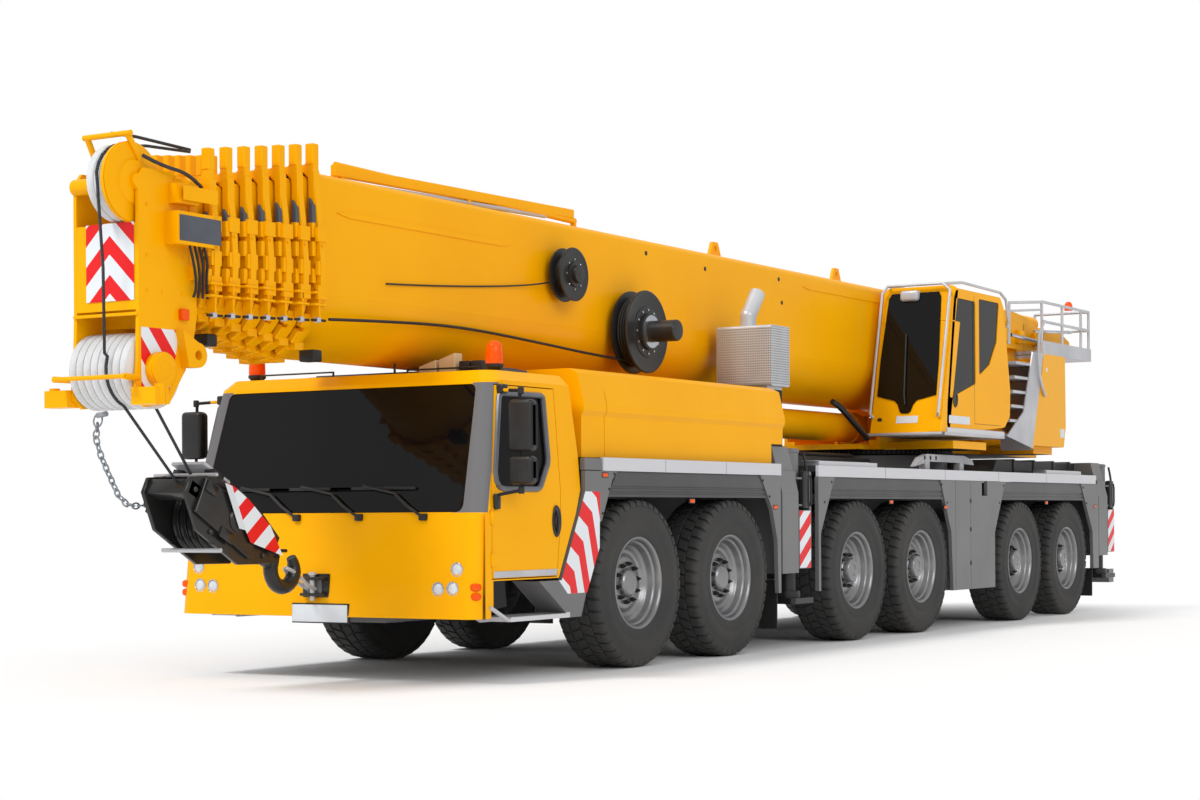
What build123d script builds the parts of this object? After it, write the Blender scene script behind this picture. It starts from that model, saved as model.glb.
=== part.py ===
from build123d import *
from math import cos, sin, pi, radians
import os

# Mobile crane on a six-axle carrier, boom lowered forward for the road.
# Millimetres. X points to the front of the carrier, Y to its left side, Z up.
# The origin is on the ground, under the middle of the overall length.

# Axles and wheels
AXLE1_X = 4000
TANDEM = 1650
GAP_MIDDLE = 2720
GAP_REAR = 2970
HALF_WIDTH = 1500
TYRE_D = 1420
TYRE_W = 445
HUB_Z = TYRE_D / 2
WHEEL_Y = 1262
KINGPIN_Y = 985
RIM_R = 372
SPINDLE_R = 70
SPINDLE_CLEAR = 0.05
SPINDLE_END = WHEEL_Y + 70

# Carrier
FRAME_HALF = 430
DECK_Z = 1760
DECK_T = 60
RAIL_H = 110
PANEL_Z = DECK_Z - RAIL_H
ARCH_Z = 1436
PANEL_T = 40
REAR_X = AXLE1_X - 13000
LOCKER_LOW = 425
FRONT_POST_X = AXLE1_X + 980
DECK_FRONT_X = AXLE1_X + 630
RAIL_REAR_X = AXLE1_X - 11640

# Driver's cab
CAB_FRONT_X = AXLE1_X + 2360
CAB_HALF = 1480
CAB_WAIST_Z = 1300
CAB_ROOF_Z = 2415
CAB_WALL = 50
DOOR_T = 42
DOOR_GAP = 8
DOOR_HINGE_X = AXLE1_X + 2235
DOOR_HINGE_Y = CAB_HALF + 4
DOOR_HINGE_R = 12
LAMP_R = 58

# Engine hood
HOOD_FRONT_X = AXLE1_X + 820
HOOD_REAR_X = AXLE1_X - 2820
HOOD_HALF = 1420
HOOD_TOP_Z = 2490
CREASE_Z = 2140
HOOD_WALL = 30

# Outriggers
JACK_X = {"front": AXLE1_X - 2980, "rear": AXLE1_X - 12130}
LANE = 142
BEAM_W = 260
BEAM_H = 420
BEAM_Z = 900
JACK_Y = 1290
JACK_R = 85
JACK_CLEAR = 0.06
SLEEVE_R = 118
SLEEVE_TOP = 1880
COVER_TOP = 1930
FOOT_HALF = 230

# Superstructure
SLEW_X = AXLE1_X - 7800
SLEW_RING_R = 950
RING_TOP_Z = 1960
BOOM_PIVOT_X = AXLE1_X - 10300
BOOM_PIVOT_Z = 3330
CHEEK_Y = 560
CHEEK_T = 40
CRANE_CAB_FRONT_X = AXLE1_X - 6780
CRANE_CAB_Y0 = 640
CRANE_CAB_Y1 = 1450

# Boom
BOOM_HALF = 500
BOOM_TOP_Z = 3870
BOOM_LOW_Z = 2500
BOOM_BELLY = 460
BOOM_WALL = 10
BOOM_STEP = 32
BOOM_SECTIONS = 7
BOOM_FRONT_X = AXLE1_X + 3170
BOOM_REAR_X = AXLE1_X - 10850
SECTION_REAR_X = AXLE1_X - 9500
COLLAR_PITCH = 155
COLLAR_T = 70
COLLAR_RISE = 100
COLLAR_TAPER = 4
PRONG_TOP = 4010
PRONG_STEP = 24

# Boom head and hook block
HEAD_FRONT_X = AXLE1_X + 4780
HEAD_HALF = 305
HEAD_WALL = 28
SHEAVE_R = 268
LOW_SHEAVE_X = HEAD_FRONT_X - 180
LOW_SHEAVE_Z = 2310
TOP_SHEAVE_X = HEAD_FRONT_X - 20
TOP_SHEAVE_Z = 3600
LOW_SHEAVES = 8
SHEAVE_PITCH = 68
LUG_X = AXLE1_X + 4260
LUG_Z = 2430
LUG_BORE_R = 35
HOOK_X = AXLE1_X + 3700
HOOK_Z = 1270
HOOK_TILT = 27

# Luffing cylinder
FOOT_X = AXLE1_X - 7550
FOOT_Z = 2280
EYE_X = AXLE1_X - 3250
BARREL_R = 185
ROD_R = 125
ROD_CLEAR = 0.06
BARREL_LENGTH = 3950


# Basic shapes
def box(x0, x1, y0, y1, z0, z1):
    return Pos((x0 + x1) / 2, (y0 + y1) / 2, (z0 + z1) / 2) * Box(abs(x1 - x0), abs(y1 - y0), abs(z1 - z0))


def cyl_x(x0, x1, y, z, r):
    return Pos((x0 + x1) / 2, y, z) * Rot(0, 90, 0) * Cylinder(r, abs(x1 - x0))


def cyl_y(x, y0, y1, z, r):
    return Pos(x, (y0 + y1) / 2, z) * Rot(90, 0, 0) * Cylinder(r, abs(y1 - y0))


def cyl_z(x, y, z0, z1, r):
    return Pos(x, y, (z0 + z1) / 2) * Cylinder(r, abs(z1 - z0))


def outline(points, radius):
    # A closed flat outline, with every corner rounded when a radius is given
    face = Face(Wire.make_polygon(points, close=True))
    if radius:
        face = face.fillet_2d(radius, face.vertices())
    return face


def side_profile(points, y0, y1, radius=0):
    # A plate or block with its outline in the XZ plane, from y0 to y1
    low = min(y0, y1)
    face = outline([Vector(x, low, z) for x, z in points], radius)
    return extrude(face, amount=abs(y1 - y0), dir=(0, 1, 0))


def cross_profile(points, x0, x1, radius=0):
    # A block with its outline in the YZ plane, from x0 to x1
    face = outline([Vector(x0, y, z) for y, z in points], radius)
    return extrude(face, amount=x1 - x0, dir=(1, 0, 0))


def plan_profile(points, z0, z1, radius=0):
    # A block with its outline seen from above, from z0 to z1
    face = outline([Vector(x, y, z0) for x, y in points], radius)
    return extrude(face, amount=z1 - z0, dir=(0, 0, 1))


def mirrored(shape):
    return mirror(shape, about=Plane.XZ)


def both_sides(shape):
    return shape + mirrored(shape)


def rod_between(p, q, r):
    # A round bar from p to q
    direction = Vector(*q) - Vector(*p)
    plane = Plane(origin=Vector(*p), z_dir=direction)
    return extrude(plane * Circle(r), amount=direction.length)


def bar_path(points, r):
    # A bent round bar, its corners filled by balls of its own size
    bar = rod_between(points[0], points[1], r)
    for p, q in zip(points[1:], points[2:]):
        bar += rod_between(p, q, r)
        bar += Pos(*p) * Sphere(r)
    return bar


def export(shape, node):
    shape.label = node
    export_step(shape, "parts/" + node + ".step")


# Wheels, axles and steering knuckles
def axle_positions():
    xs = [AXLE1_X]
    for gap in (TANDEM, GAP_MIDDLE, TANDEM, GAP_REAR, TANDEM):
        xs.append(xs[-1] - gap)
    return xs


def tyre():
    # Outline of radius against distance from the middle of the tread, revolved about the axle
    outer = TYRE_D / 2
    half = TYRE_W / 2
    right = [
        (outer, half - 62),
        (outer - 28, half - 14),
        (outer - 150, half),
        (RIM_R + 70, half - 6),
        (RIM_R, half - 42),
    ]
    left = [(r, -a) for r, a in reversed(right)]
    return revolve(outline([Vector(r, a, 0) for r, a in right + left], 0), axis=Axis.Y)


def rim(driven):
    # Deep dish rim, hub flange and hub cap; the cap of a driven axle is large, for its hub gears
    half = TYRE_W / 2
    cap_r = 165 if driven else 108
    cap_end = half - 62 if driven else half - 98
    disc = half - 190
    points = [
        (0, cap_end),
        (cap_r - 30, cap_end - 6),
        (cap_r, cap_end - 26),
        (cap_r + 2, disc + 42),
        (225, disc + 38),
        (262, disc),
        (RIM_R - 84, disc + 10),
        (RIM_R - 62, half - 78),
        (RIM_R - 30, half - 66),
        (RIM_R - 20, half - 32),
        (RIM_R - 1, half - 32),
        (RIM_R - 1, -half + 44),
        (RIM_R - 60, -half + 60),
        (RIM_R - 84, disc - 22),
        (SPINDLE_R + SPINDLE_CLEAR, disc - 40),
        (SPINDLE_R + SPINDLE_CLEAR, SPINDLE_END - WHEEL_Y + 6),
        (0, SPINDLE_END - WHEEL_Y + 6),
    ]
    return revolve(outline([Vector(r, a, 0) for r, a in points], 0), axis=Axis.Y)


def wheel(x, side, driven):
    pair = Compound(children=[tyre(), rim(driven)])
    turn = 0 if side > 0 else 180
    return Pos(x, side * WHEEL_Y, HUB_Z) * Rot(0, 0, turn) * pair


def knuckle(x, side):
    # Fork over the axle's fist, steering arm, and the spindle that carries the wheel
    z = HUB_Z
    body = cyl_z(x, side * KINGPIN_Y, z - 190, z + 190, 52)
    body -= box(x - 60, x + 60, side * (KINGPIN_Y - 60), side * (KINGPIN_Y + 60), z - 106, z + 106)
    for low, high in ((z + 106, z + 190), (z - 190, z - 106)):
        body += box(x - 60, x + 60, side * KINGPIN_Y, side * (KINGPIN_Y + 110), low, high)
    body += box(x - 75, x + 75, side * (KINGPIN_Y + 70), side * (KINGPIN_Y + 130), z - 190, z + 190)
    arm = side_profile([(x, z + 150), (x - 250, z + 150), (x - 250, z + 185), (x, z + 185)], 0, 70)
    body += Pos(0, side * KINGPIN_Y - 35, 0) * arm
    body += cyl_y(x, side * (KINGPIN_Y + 100), side * SPINDLE_END, z, SPINDLE_R)
    return body


def axle_beam(x, steered):
    # Beam with its gear housing in the middle and two suspension struts
    z = HUB_Z
    beam = box(x - 75, x + 75, -KINGPIN_Y + 150, KINGPIN_Y - 150, z - 95, z + 95)
    half_gear = [(0, -230), (120, -200), (200, -60), (200, 60), (120, 200), (0, 230)]
    gear_case = revolve(outline([Vector(r, a, 0) for r, a in half_gear], 0), axis=Axis.Y)
    beam += Pos(x, 0, z) * gear_case
    for side in (-1, 1):
        beam += cyl_z(x, side * 540, z, 1180, 48)
        if steered:
            beam += box(x - 60, x + 60, side * (KINGPIN_Y - 170), side * KINGPIN_Y, z - 100, z + 100)
            beam += cyl_z(x, side * KINGPIN_Y, z - 100, z + 100, 58)
        else:
            beam += cyl_y(x, side * (KINGPIN_Y - 170), side * SPINDLE_END, z, SPINDLE_R)
            beam += box(x - 75, x + 75, side * (KINGPIN_Y - 170), side * (KINGPIN_Y + 60), z - 95, z + 95)
    return beam


def build_running_gear():
    beams = []
    for number, x in enumerate(axle_positions(), start=1):
        steered = number != 4
        driven = number > 2
        beams.append(axle_beam(x, steered))
        for side, name in ((1, "left"), (-1, "right")):
            export(wheel(x, side, driven), "wheel_%d_%s" % (number, name))
            if steered:
                export(knuckle(x, side), "knuckle_%d_%s" % (number, name))
    export(Compound(children=beams), "axle_beams")


# Carrier frame and deck
def lane_x(where, side):
    # The two beams of a pair lie one behind the other
    return JACK_X[where] - side * LANE


def outrigger_box(where):
    # Cross box for the two beams, with a tall cover beside each jack
    x = JACK_X[where]
    edge = HALF_WIDTH - 35
    body = box(x - 330, x + 330, -edge, edge, BEAM_Z - 60, DECK_Z - 65)
    section = [(1000, 720), (1495, 720), (1495, 1490), (1380, COVER_TOP), (1000, COVER_TOP)]
    cover = cross_profile(section, x + 8, x + 350)
    body += cover
    body += Pos(2 * x, 0, 0) * Rot(0, 0, 180) * cover
    return body


def outrigger_clearance(where, side):
    # Room for one beam along its lane and for its jack at the end
    x = lane_x(where, side)
    half = BEAM_W / 2 + 8
    inner = -side * (HALF_WIDTH - 120)
    room = box(x - half, x + half, inner, side * HALF_WIDTH, BEAM_Z - 8, BEAM_Z + BEAM_H + 8)
    room += box(x - 150, x + 150, side * (JACK_Y - 190), side * HALF_WIDTH, 0, COVER_TOP + 20)
    return room


def build_chassis():
    web = FRAME_HALF
    front = CAB_FRONT_X - 180
    profile = [
        (front, 450),
        (front, 800),
        (AXLE1_X + 1100, 820),
        (AXLE1_X + 720, 1500),
        (REAR_X + 700, 1500),
        (REAR_X + 480, 1250),
        (REAR_X + 60, 1120),
        (REAR_X + 60, 760),
        (REAR_X + 480, 640),
        (REAR_X + 900, 1000),
        (AXLE1_X + 560, 1000),
        (AXLE1_X + 900, 450),
    ]
    frame = side_profile(profile, -web, web)
    for x in axle_positions():
        strut_seat = box(x - 110, x + 110, web - 20, 620, 1180, 1320)
        frame += both_sides(strut_seat)
    for where in JACK_X:
        frame += outrigger_box(where)
    frame += cyl_z(SLEW_X, 0, 1480, RING_TOP_Z - 12, SLEW_RING_R)
    frame += box(SLEW_X - 1100, SLEW_X + 1100, -900, 900, 1480, DECK_Z - 65)
    for side in (1, -1):
        y = side * 700
        hanger = [(REAR_X + 200, 340), (REAR_X + 620, 420), (REAR_X + 700, 760), (REAR_X + 480, 760), (REAR_X + 200, 500)]
        frame += side_profile(hanger, y - 20, y + 20)
        frame += box(REAR_X + 420, REAR_X + 1000, y - 20, y + 20, 700, 1010)
    under_run = [(REAR_X + 100, 340), (REAR_X + 250, 340), (REAR_X + 250, 520), (REAR_X + 210, 520), (REAR_X + 210, 380),
                 (REAR_X + 100, 380)]
    frame += side_profile(under_run, -1300, 1300)
    frame += box(REAR_X + 60, REAR_X + 110, -1300, 1300, 420, 470)
    frame += box(REAR_X + 60, REAR_X + 215, -1300, -1270, 340, 520)
    frame += box(REAR_X + 60, REAR_X + 215, 1270, 1300, 340, 520)
    frame += box(REAR_X + 60, REAR_X + 215, -20, 20, 340, 520)
    # Tail plate with lamps and the marker rings on their arms
    frame += box(REAR_X + 440, REAR_X + 500, -1050, 1050, 700, 1640)
    for side in (1, -1):
        y = side * 1000
        arm = rod_between((REAR_X + 450, y, 960), (REAR_X + 140, y, 930), 20)
        arm += rod_between((REAR_X + 140, y, 930), (REAR_X + 100, y, 990), 20)
        ring = Pos(REAR_X + 84, y, 1042) * Rot(90, 0, 0) * Torus(46, 14)
        frame += arm + ring
    frame += box(front - 60, CAB_FRONT_X + 90, -130, 10, 690, 810)
    frame -= box(CAB_FRONT_X - 40, CAB_FRONT_X + 60, -100, -20, 640, 780)
    frame += cyl_z(CAB_FRONT_X + 40, -60, 660, 830, 22)
    for where in JACK_X:
        for side in (1, -1):
            frame -= outrigger_clearance(where, side)
    export(frame, "chassis_frame")


def build_deck():
    # Deck plates between the cab and the outriggers, with the pale rail along both edges
    edge = HALF_WIDTH - 30
    top = DECK_Z
    low = DECK_Z - DECK_T
    gap_front = JACK_X["front"] + 380
    gap_rear = JACK_X["front"] - 425
    deck = box(gap_front, DECK_FRONT_X, -edge, edge, low, top)
    deck += box(JACK_X["rear"] + 380, gap_rear, -edge, edge, low, top)
    deck += box(gap_rear - 5, gap_front + 5, -1000, 1000, low, top)
    deck -= cyl_z(SLEW_X, 0, low - 40, top + 40, SLEW_RING_R + 10)
    for x0, x1 in ((gap_front, DECK_FRONT_X), (RAIL_REAR_X, gap_rear)):
        deck += both_sides(box(x0, x1, edge, HALF_WIDTH, top - RAIL_H, top))
    for x0, x1 in ((gap_rear - 1500, gap_rear - 120), (RAIL_REAR_X + 420, RAIL_REAR_X + 1700)):
        deck += both_sides(box(x0, x1, edge - 190, edge - 20, top - 5, top + 45))
    export(deck, "carrier_deck")


# Arch bands over each pair of wheels, with pressed ribs along their lower edge
def build_arches():
    y = HALF_WIDTH - 12
    rib = 8
    band = [
        (y - 30, PANEL_Z - 3),
        (y - 8, PANEL_Z - 3),
        (y, 1600),
        (y, 1528),
        (y - rib, 1520),
        (y - rib, 1508),
        (y, 1500),
        (y, 1486),
        (y - rib, 1478),
        (y - rib, 1466),
        (y, 1458),
        (y, ARCH_Z),
        (y - 30, ARCH_Z),
    ]
    # Ends of each band at its top, at the bevel and at its lower edge, from the first axle
    ends = (
        ((385, 505, 548), (-2160, -2275, -2325)),
        ((-3800, -3712, -3675), (-6450, -6533, -6567)),
        ((-8450, -8361, -8324), (-11060, -11170, -11215)),
    )
    bands = []
    for front, rear in ends:
        cut = [
            (AXLE1_X + rear[2], ARCH_Z - 5),
            (AXLE1_X + rear[1], 1500),
            (AXLE1_X + rear[0], PANEL_Z),
            (AXLE1_X + front[0], PANEL_Z),
            (AXLE1_X + front[1], 1500),
            (AXLE1_X + front[2], ARCH_Z - 5),
        ]
        run = cross_profile(band, AXLE1_X + rear[2], AXLE1_X + front[2])
        piece = run & side_profile(cut, y - 60, y + 60)
        bands.append(piece)
        bands.append(mirrored(piece))
    export(Compound(children=bands), "wheel_arch_bands")


def build_side_panels():
    y1 = HALF_WIDTH - 4
    y0 = y1 - PANEL_T
    top = PANEL_Z - 3
    a = AXLE1_X
    post = [
        (a + 908, top),
        (a + 400, top),
        (a + 480, 1580),
        (a + 655, 1235),
        (a + 700, 1235),
        (a + 700, 1460),
        (a + 908, 1460),
    ]
    chevron = [
        (a + 908, 1475),
        (a + 680, 1475),
        (a + 690, 1020),
        (a + 890, 660),
        (a + 1325, 660),
        (a + 1262, 785),
        (a + 1088, 1125),
    ]
    step_box = [(a + 1600, 770), (a + 1280, 770), (a + 900, 662), (a + 980, 470), (a + 1150, 470)]
    front = side_profile(post, y0, y1) + side_profile(chevron, y0, y1)
    front += side_profile(step_box, 1240, y1)
    front += side_profile([(a + 1150, 470), (a + 2000, 470), (a + 2000, 505), (a + 1160, 505)], 1180, y1)
    ahead = side_profile(
        [
            (a - 2180, top),
            (a - 2595, top),
            (a - 2595, 540),
            (a - 2540, 540),
            (a - 2520, 1040),
            (a - 2420, 1330),
        ],
        y0,
        y1,
    )
    behind = side_profile(
        [
            (a - 3410, top),
            (a - 3780, top),
            (a - 3460, 1090),
            (a - 3460, 530),
            (a - 3410, 530),
        ],
        y0,
        y1,
    )
    locker = side_profile(
        [
            (a - 6480, top),
            (a - 8430, top),
            (a - 8090, 1060),
            (a - 8090, LOCKER_LOW),
            (a - 6830, LOCKER_LOW),
            (a - 6780, 1070),
        ],
        y0,
        y1,
    )
    locker += box(a - 8060, a - 6860, 1020, y0 + 5, LOCKER_LOW, 1180)
    slot = side_profile([(a - 7690, 1480), (a - 7860, 1480), (a - 7860, top + 20), (a - 7690, top + 20)], y0 - 5, y1 + 5)
    locker -= slot
    for seam in (a - 6905, a - 7350):
        locker -= box(seam - 4, seam + 4, y1 - 6, y1 + 1, LOCKER_LOW - 1, top + 1)
    tail = side_profile(
        [(a - 11080, top), (a - 11760, top), (a - 11760, 560), (a - 11550, 560), (a - 11520, 1040)],
        y0,
        y1,
    )
    panels = []
    for piece in (front, ahead, behind, locker, tail):
        panels.append(piece)
        panels.append(mirrored(piece))
    export(Compound(children=panels), "side_panels")


# Outriggers
def build_outriggers():
    for where in JACK_X:
        for side, name in ((1, "left"), (-1, "right")):
            x = lane_x(where, side)
            half = BEAM_W / 2
            beam = box(x - half, x + half, -side * (HALF_WIDTH - 160), side * (JACK_Y - 110), BEAM_Z, BEAM_Z + BEAM_H)
            beam += cyl_z(x, side * JACK_Y, BEAM_Z - 60, SLEEVE_TOP, SLEEVE_R)
            beam += box(x - 125, x + 125, side * (JACK_Y - 120), side * (HALF_WIDTH - 30), BEAM_Z, BEAM_Z + BEAM_H)
            beam += box(x - 128, x + 128, side * (HALF_WIDTH - 36), side * (HALF_WIDTH - 8), 760, 1320)
            beam -= cyl_z(x, side * JACK_Y, BEAM_Z - 70, BEAM_Z + BEAM_H + 20, JACK_R + JACK_CLEAR)
            export(beam, "outrigger_beam_%s_%s" % (where, name))
            y = side * JACK_Y
            jack = cyl_z(x, y, 520, BEAM_Z + BEAM_H - 20, JACK_R)
            jack += cyl_z(x, y, 470, 540, 130)
            pad = [(x - FOOT_HALF, y - 190), (x + FOOT_HALF, y - 190), (x + FOOT_HALF, y + 190), (x - FOOT_HALF, y + 190)]
            jack += plan_profile(pad, 420, 475, 50)
            export(jack, "outrigger_jack_%s_%s" % (where, name))


# Driver's cab
def cab_section(z, front, half, corner, inset):
    rear = AXLE1_X + 850
    points = [(rear, -half + inset), (front - inset, -half + inset), (front - inset, half - inset), (rear, half - inset)]
    face = Face(Wire.make_polygon([Vector(x, y, z) for x, y in points], close=True))
    rounded = face.vertices().sort_by(Axis.X)[-2:]
    return face.fillet_2d(corner - inset * 0.5, rounded)


def cab_body(inset):
    # The cab leans in above the waist, and its front corners are rounded all the way up
    sections = [
        cab_section(520, CAB_FRONT_X - 10, CAB_HALF, 130, inset),
        cab_section(CAB_WAIST_Z, CAB_FRONT_X, CAB_HALF, 130, inset),
        cab_section(2335, CAB_FRONT_X - 300, CAB_HALF - 95, 130, inset),
        cab_section(CAB_ROOF_Z - inset, CAB_FRONT_X - 365, CAB_HALF - 170, 130, inset),
    ]
    return loft(sections, ruled=True)


def door_outline(gap):
    x0 = AXLE1_X + 1225 + gap
    x1 = DOOR_HINGE_X - 5 - gap
    return [
        (x0 + 85, 800 + gap),
        (x1, 800 + gap),
        (x1, 1390),
        (x1 - 210, 2300 - gap),
        (x0 - 15, 2300 - gap),
        (x0, 1500),
    ]


def door_window(gap):
    x0 = AXLE1_X + 1385 + gap
    x1 = DOOR_HINGE_X - 92 - gap
    return [
        (x0 + 150, 1500 + gap),
        (x1, 1500 + gap),
        (x1 - 163, 2220 - gap),
        (x0, 2225 - gap),
        (x0, 1690),
    ]


def windscreen_opening(gap):
    return cross_profile(
        [(-1300 + gap, 1315 + gap), (1300 - gap, 1315 + gap), (1235 - gap, 2305 - gap), (-1235 + gap, 2305 - gap)],
        CAB_FRONT_X - 520,
        CAB_FRONT_X + 100,
        60,
    )


def lamp_places():
    # Two lamps low on each corner and one above the outer of them
    places = []
    for side in (1, -1):
        for y, z in ((1255, 735), (1120, 730), (1285, 880)):
            places.append((side * y, z))
    return places


def build_driver_cab():
    shape = [
        (CAB_FRONT_X + 20, 560),
        (CAB_FRONT_X + 20, CAB_ROOF_Z + 20),
        (AXLE1_X + 1010, CAB_ROOF_Z + 20),
        (AXLE1_X + 975, 2320),
        (AXLE1_X + 925, 1760),
        (AXLE1_X + 930, 1490),
        (AXLE1_X + 1110, 1140),
        (AXLE1_X + 1290, 790),
        (CAB_FRONT_X - 300, 790),
        (CAB_FRONT_X - 330, 590),
    ]
    shell = cab_body(0) & side_profile(shape, -1600, 1600)
    room = [
        (CAB_FRONT_X + 20, 900),
        (CAB_FRONT_X + 20, CAB_ROOF_Z + 20),
        (AXLE1_X + 1060, CAB_ROOF_Z + 20),
        (AXLE1_X + 1025, 2320),
        (AXLE1_X + 975, 1760),
        (AXLE1_X + 980, 1500),
        (AXLE1_X + 1160, 1160),
        (AXLE1_X + 1280, 900),
    ]
    shell -= cab_body(CAB_WALL) & side_profile(room, -1600, 1600)
    shell -= cab_body(CAB_WALL) & box(AXLE1_X + 1000, CAB_FRONT_X, -1420, 1420, 500, 850)
    shell -= windscreen_opening(0)
    shell -= both_sides(side_profile(door_outline(0), 1250, 1600))
    for low in (900, 1220):
        shell -= both_sides(cyl_z(DOOR_HINGE_X, DOOR_HINGE_Y, low - 6, low + 106, DOOR_HINGE_R + 6))
    for y, z in lamp_places():
        shell -= cyl_x(CAB_FRONT_X - 30, CAB_FRONT_X + 50, y, z, LAMP_R + 5)
    shell -= box(CAB_FRONT_X - 80, CAB_FRONT_X + 40, -140, 20, 680, 820)
    rest = box(AXLE1_X + 1420, AXLE1_X + 1550, 300, 900, CAB_ROOF_Z - 30, CAB_ROOF_Z + 22)
    shell += rest
    shell += box(AXLE1_X + 1000, AXLE1_X + 1340, -1000, 1000, CAB_ROOF_Z - 30, CAB_ROOF_Z + 55)
    export(shell, "driver_cab")

    glass = (cab_body(8) - cab_body(16)) & windscreen_opening(4)
    pieces = [glass]
    for y, z in lamp_places():
        lens = cyl_x(CAB_FRONT_X - 26, CAB_FRONT_X - 8, y, z, LAMP_R)
        pieces.append(lens)
    beacon = cyl_z(AXLE1_X + 1770, 1200, CAB_ROOF_Z, CAB_ROOF_Z + 60, 36)
    beacon += cyl_z(AXLE1_X + 1770, 1200, CAB_ROOF_Z + 40, CAB_ROOF_Z + 190, 62)
    pieces.append(beacon)
    pieces.append(mirrored(beacon))
    export(Compound(children=pieces), "cab_glass_and_lamps")


def cab_door():
    # Left door: cut from the cab's own form, with its pane, hinge barrels and mirrors
    door = (cab_body(0) - cab_body(DOOR_T)) & side_profile(door_outline(DOOR_GAP), 1250, 1600)
    door -= side_profile(door_window(0), 1250, 1600, 25)
    pane = (cab_body(14) - cab_body(20)) & side_profile(door_window(0), 1250, 1600, 25)
    door += pane
    for low in (900, 1220):
        door += cyl_z(DOOR_HINGE_X, DOOR_HINGE_Y, low, low + 100, DOOR_HINGE_R)
        door += box(DOOR_HINGE_X - 70, DOOR_HINGE_X, CAB_HALF - 4, DOOR_HINGE_Y + 8, low, low + 100)
    x = DOOR_HINGE_X
    arm = bar_path(
        [
            (x - 265, 1378, 2255),
            (x - 190, 1620, 2240),
            (x - 190, 1640, 1480),
            (x - 60, 1470, 1440),
        ],
        13,
    )
    door += arm
    for z0, z1 in ((1780, 2165), (1530, 1735)):
        corners = [(1545, z0), (1755, z0), (1755, z1), (1545, z1)]
        door += cross_profile(corners, x - 235, x - 150, 40)
    return door


def build_doors():
    door = cab_door()
    export(door, "cab_door_left")
    export(mirrored(door), "cab_door_right")


# Engine hood, engine and exhaust
def hood_section(inset):
    y = HOOD_HALF - inset
    top = HOOD_TOP_Z - inset
    trough = 640 + inset
    half = [
        (trough, top - 130),
        (trough + 80, top),
        (y - 130, top),
        (y - 50, top - 40),
        (y + 12, CREASE_Z + 60),
        (y + 12, CREASE_Z),
        (y - 14, CREASE_Z - 40),
        (y - 14, DECK_Z),
    ]
    return [(-a, z) for a, z in reversed(half)] + half


def build_engine():
    hood = cross_profile(hood_section(0), HOOD_REAR_X, HOOD_FRONT_X)
    cavity = [
        (-HOOD_HALF + 60, DECK_Z - 10),
        (-HOOD_HALF + 60, CREASE_Z),
        (-HOOD_HALF + 150, HOOD_TOP_Z - 170),
        (HOOD_HALF - 150, HOOD_TOP_Z - 170),
        (HOOD_HALF - 60, CREASE_Z),
        (HOOD_HALF - 60, DECK_Z - 10),
    ]
    hood -= cross_profile(cavity, HOOD_REAR_X + HOOD_WALL, HOOD_FRONT_X - HOOD_WALL)
    corner = JACK_X["front"] + 400
    hood -= both_sides(box(HOOD_REAR_X - 10, corner, 985, HOOD_HALF + 60, DECK_Z - 10, COVER_TOP + 20))
    hood -= both_sides(box(AXLE1_X + 455, AXLE1_X + 465, HOOD_HALF - 20, HOOD_HALF + 40, DECK_Z, HOOD_TOP_Z - 60))
    export(hood, "engine_hood")
    export(box(HOOD_REAR_X + 700, HOOD_FRONT_X - 1060, -450, 450, DECK_Z + 5, 2280), "engine_block")

    x = AXLE1_X - 2960
    can = side_profile([(x - 400, 2530), (x, 2530), (x, 3120), (x - 400, 3120)], 620, 1215, 25)
    can += box(x - 360, x - 40, 680, 1150, DECK_Z, 2535)
    can += cyl_z(x - 130, 900, 3100, 3230, 78)
    bend = rod_between((x - 130, 900, 3220), (x - 330, 900, 3460), 78)
    can += bend + Pos(x - 130, 900, 3224) * Sphere(78)
    can -= rod_between((x - 250, 900, 3364), (x - 400, 900, 3544), 68)
    export(can, "exhaust")


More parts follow.
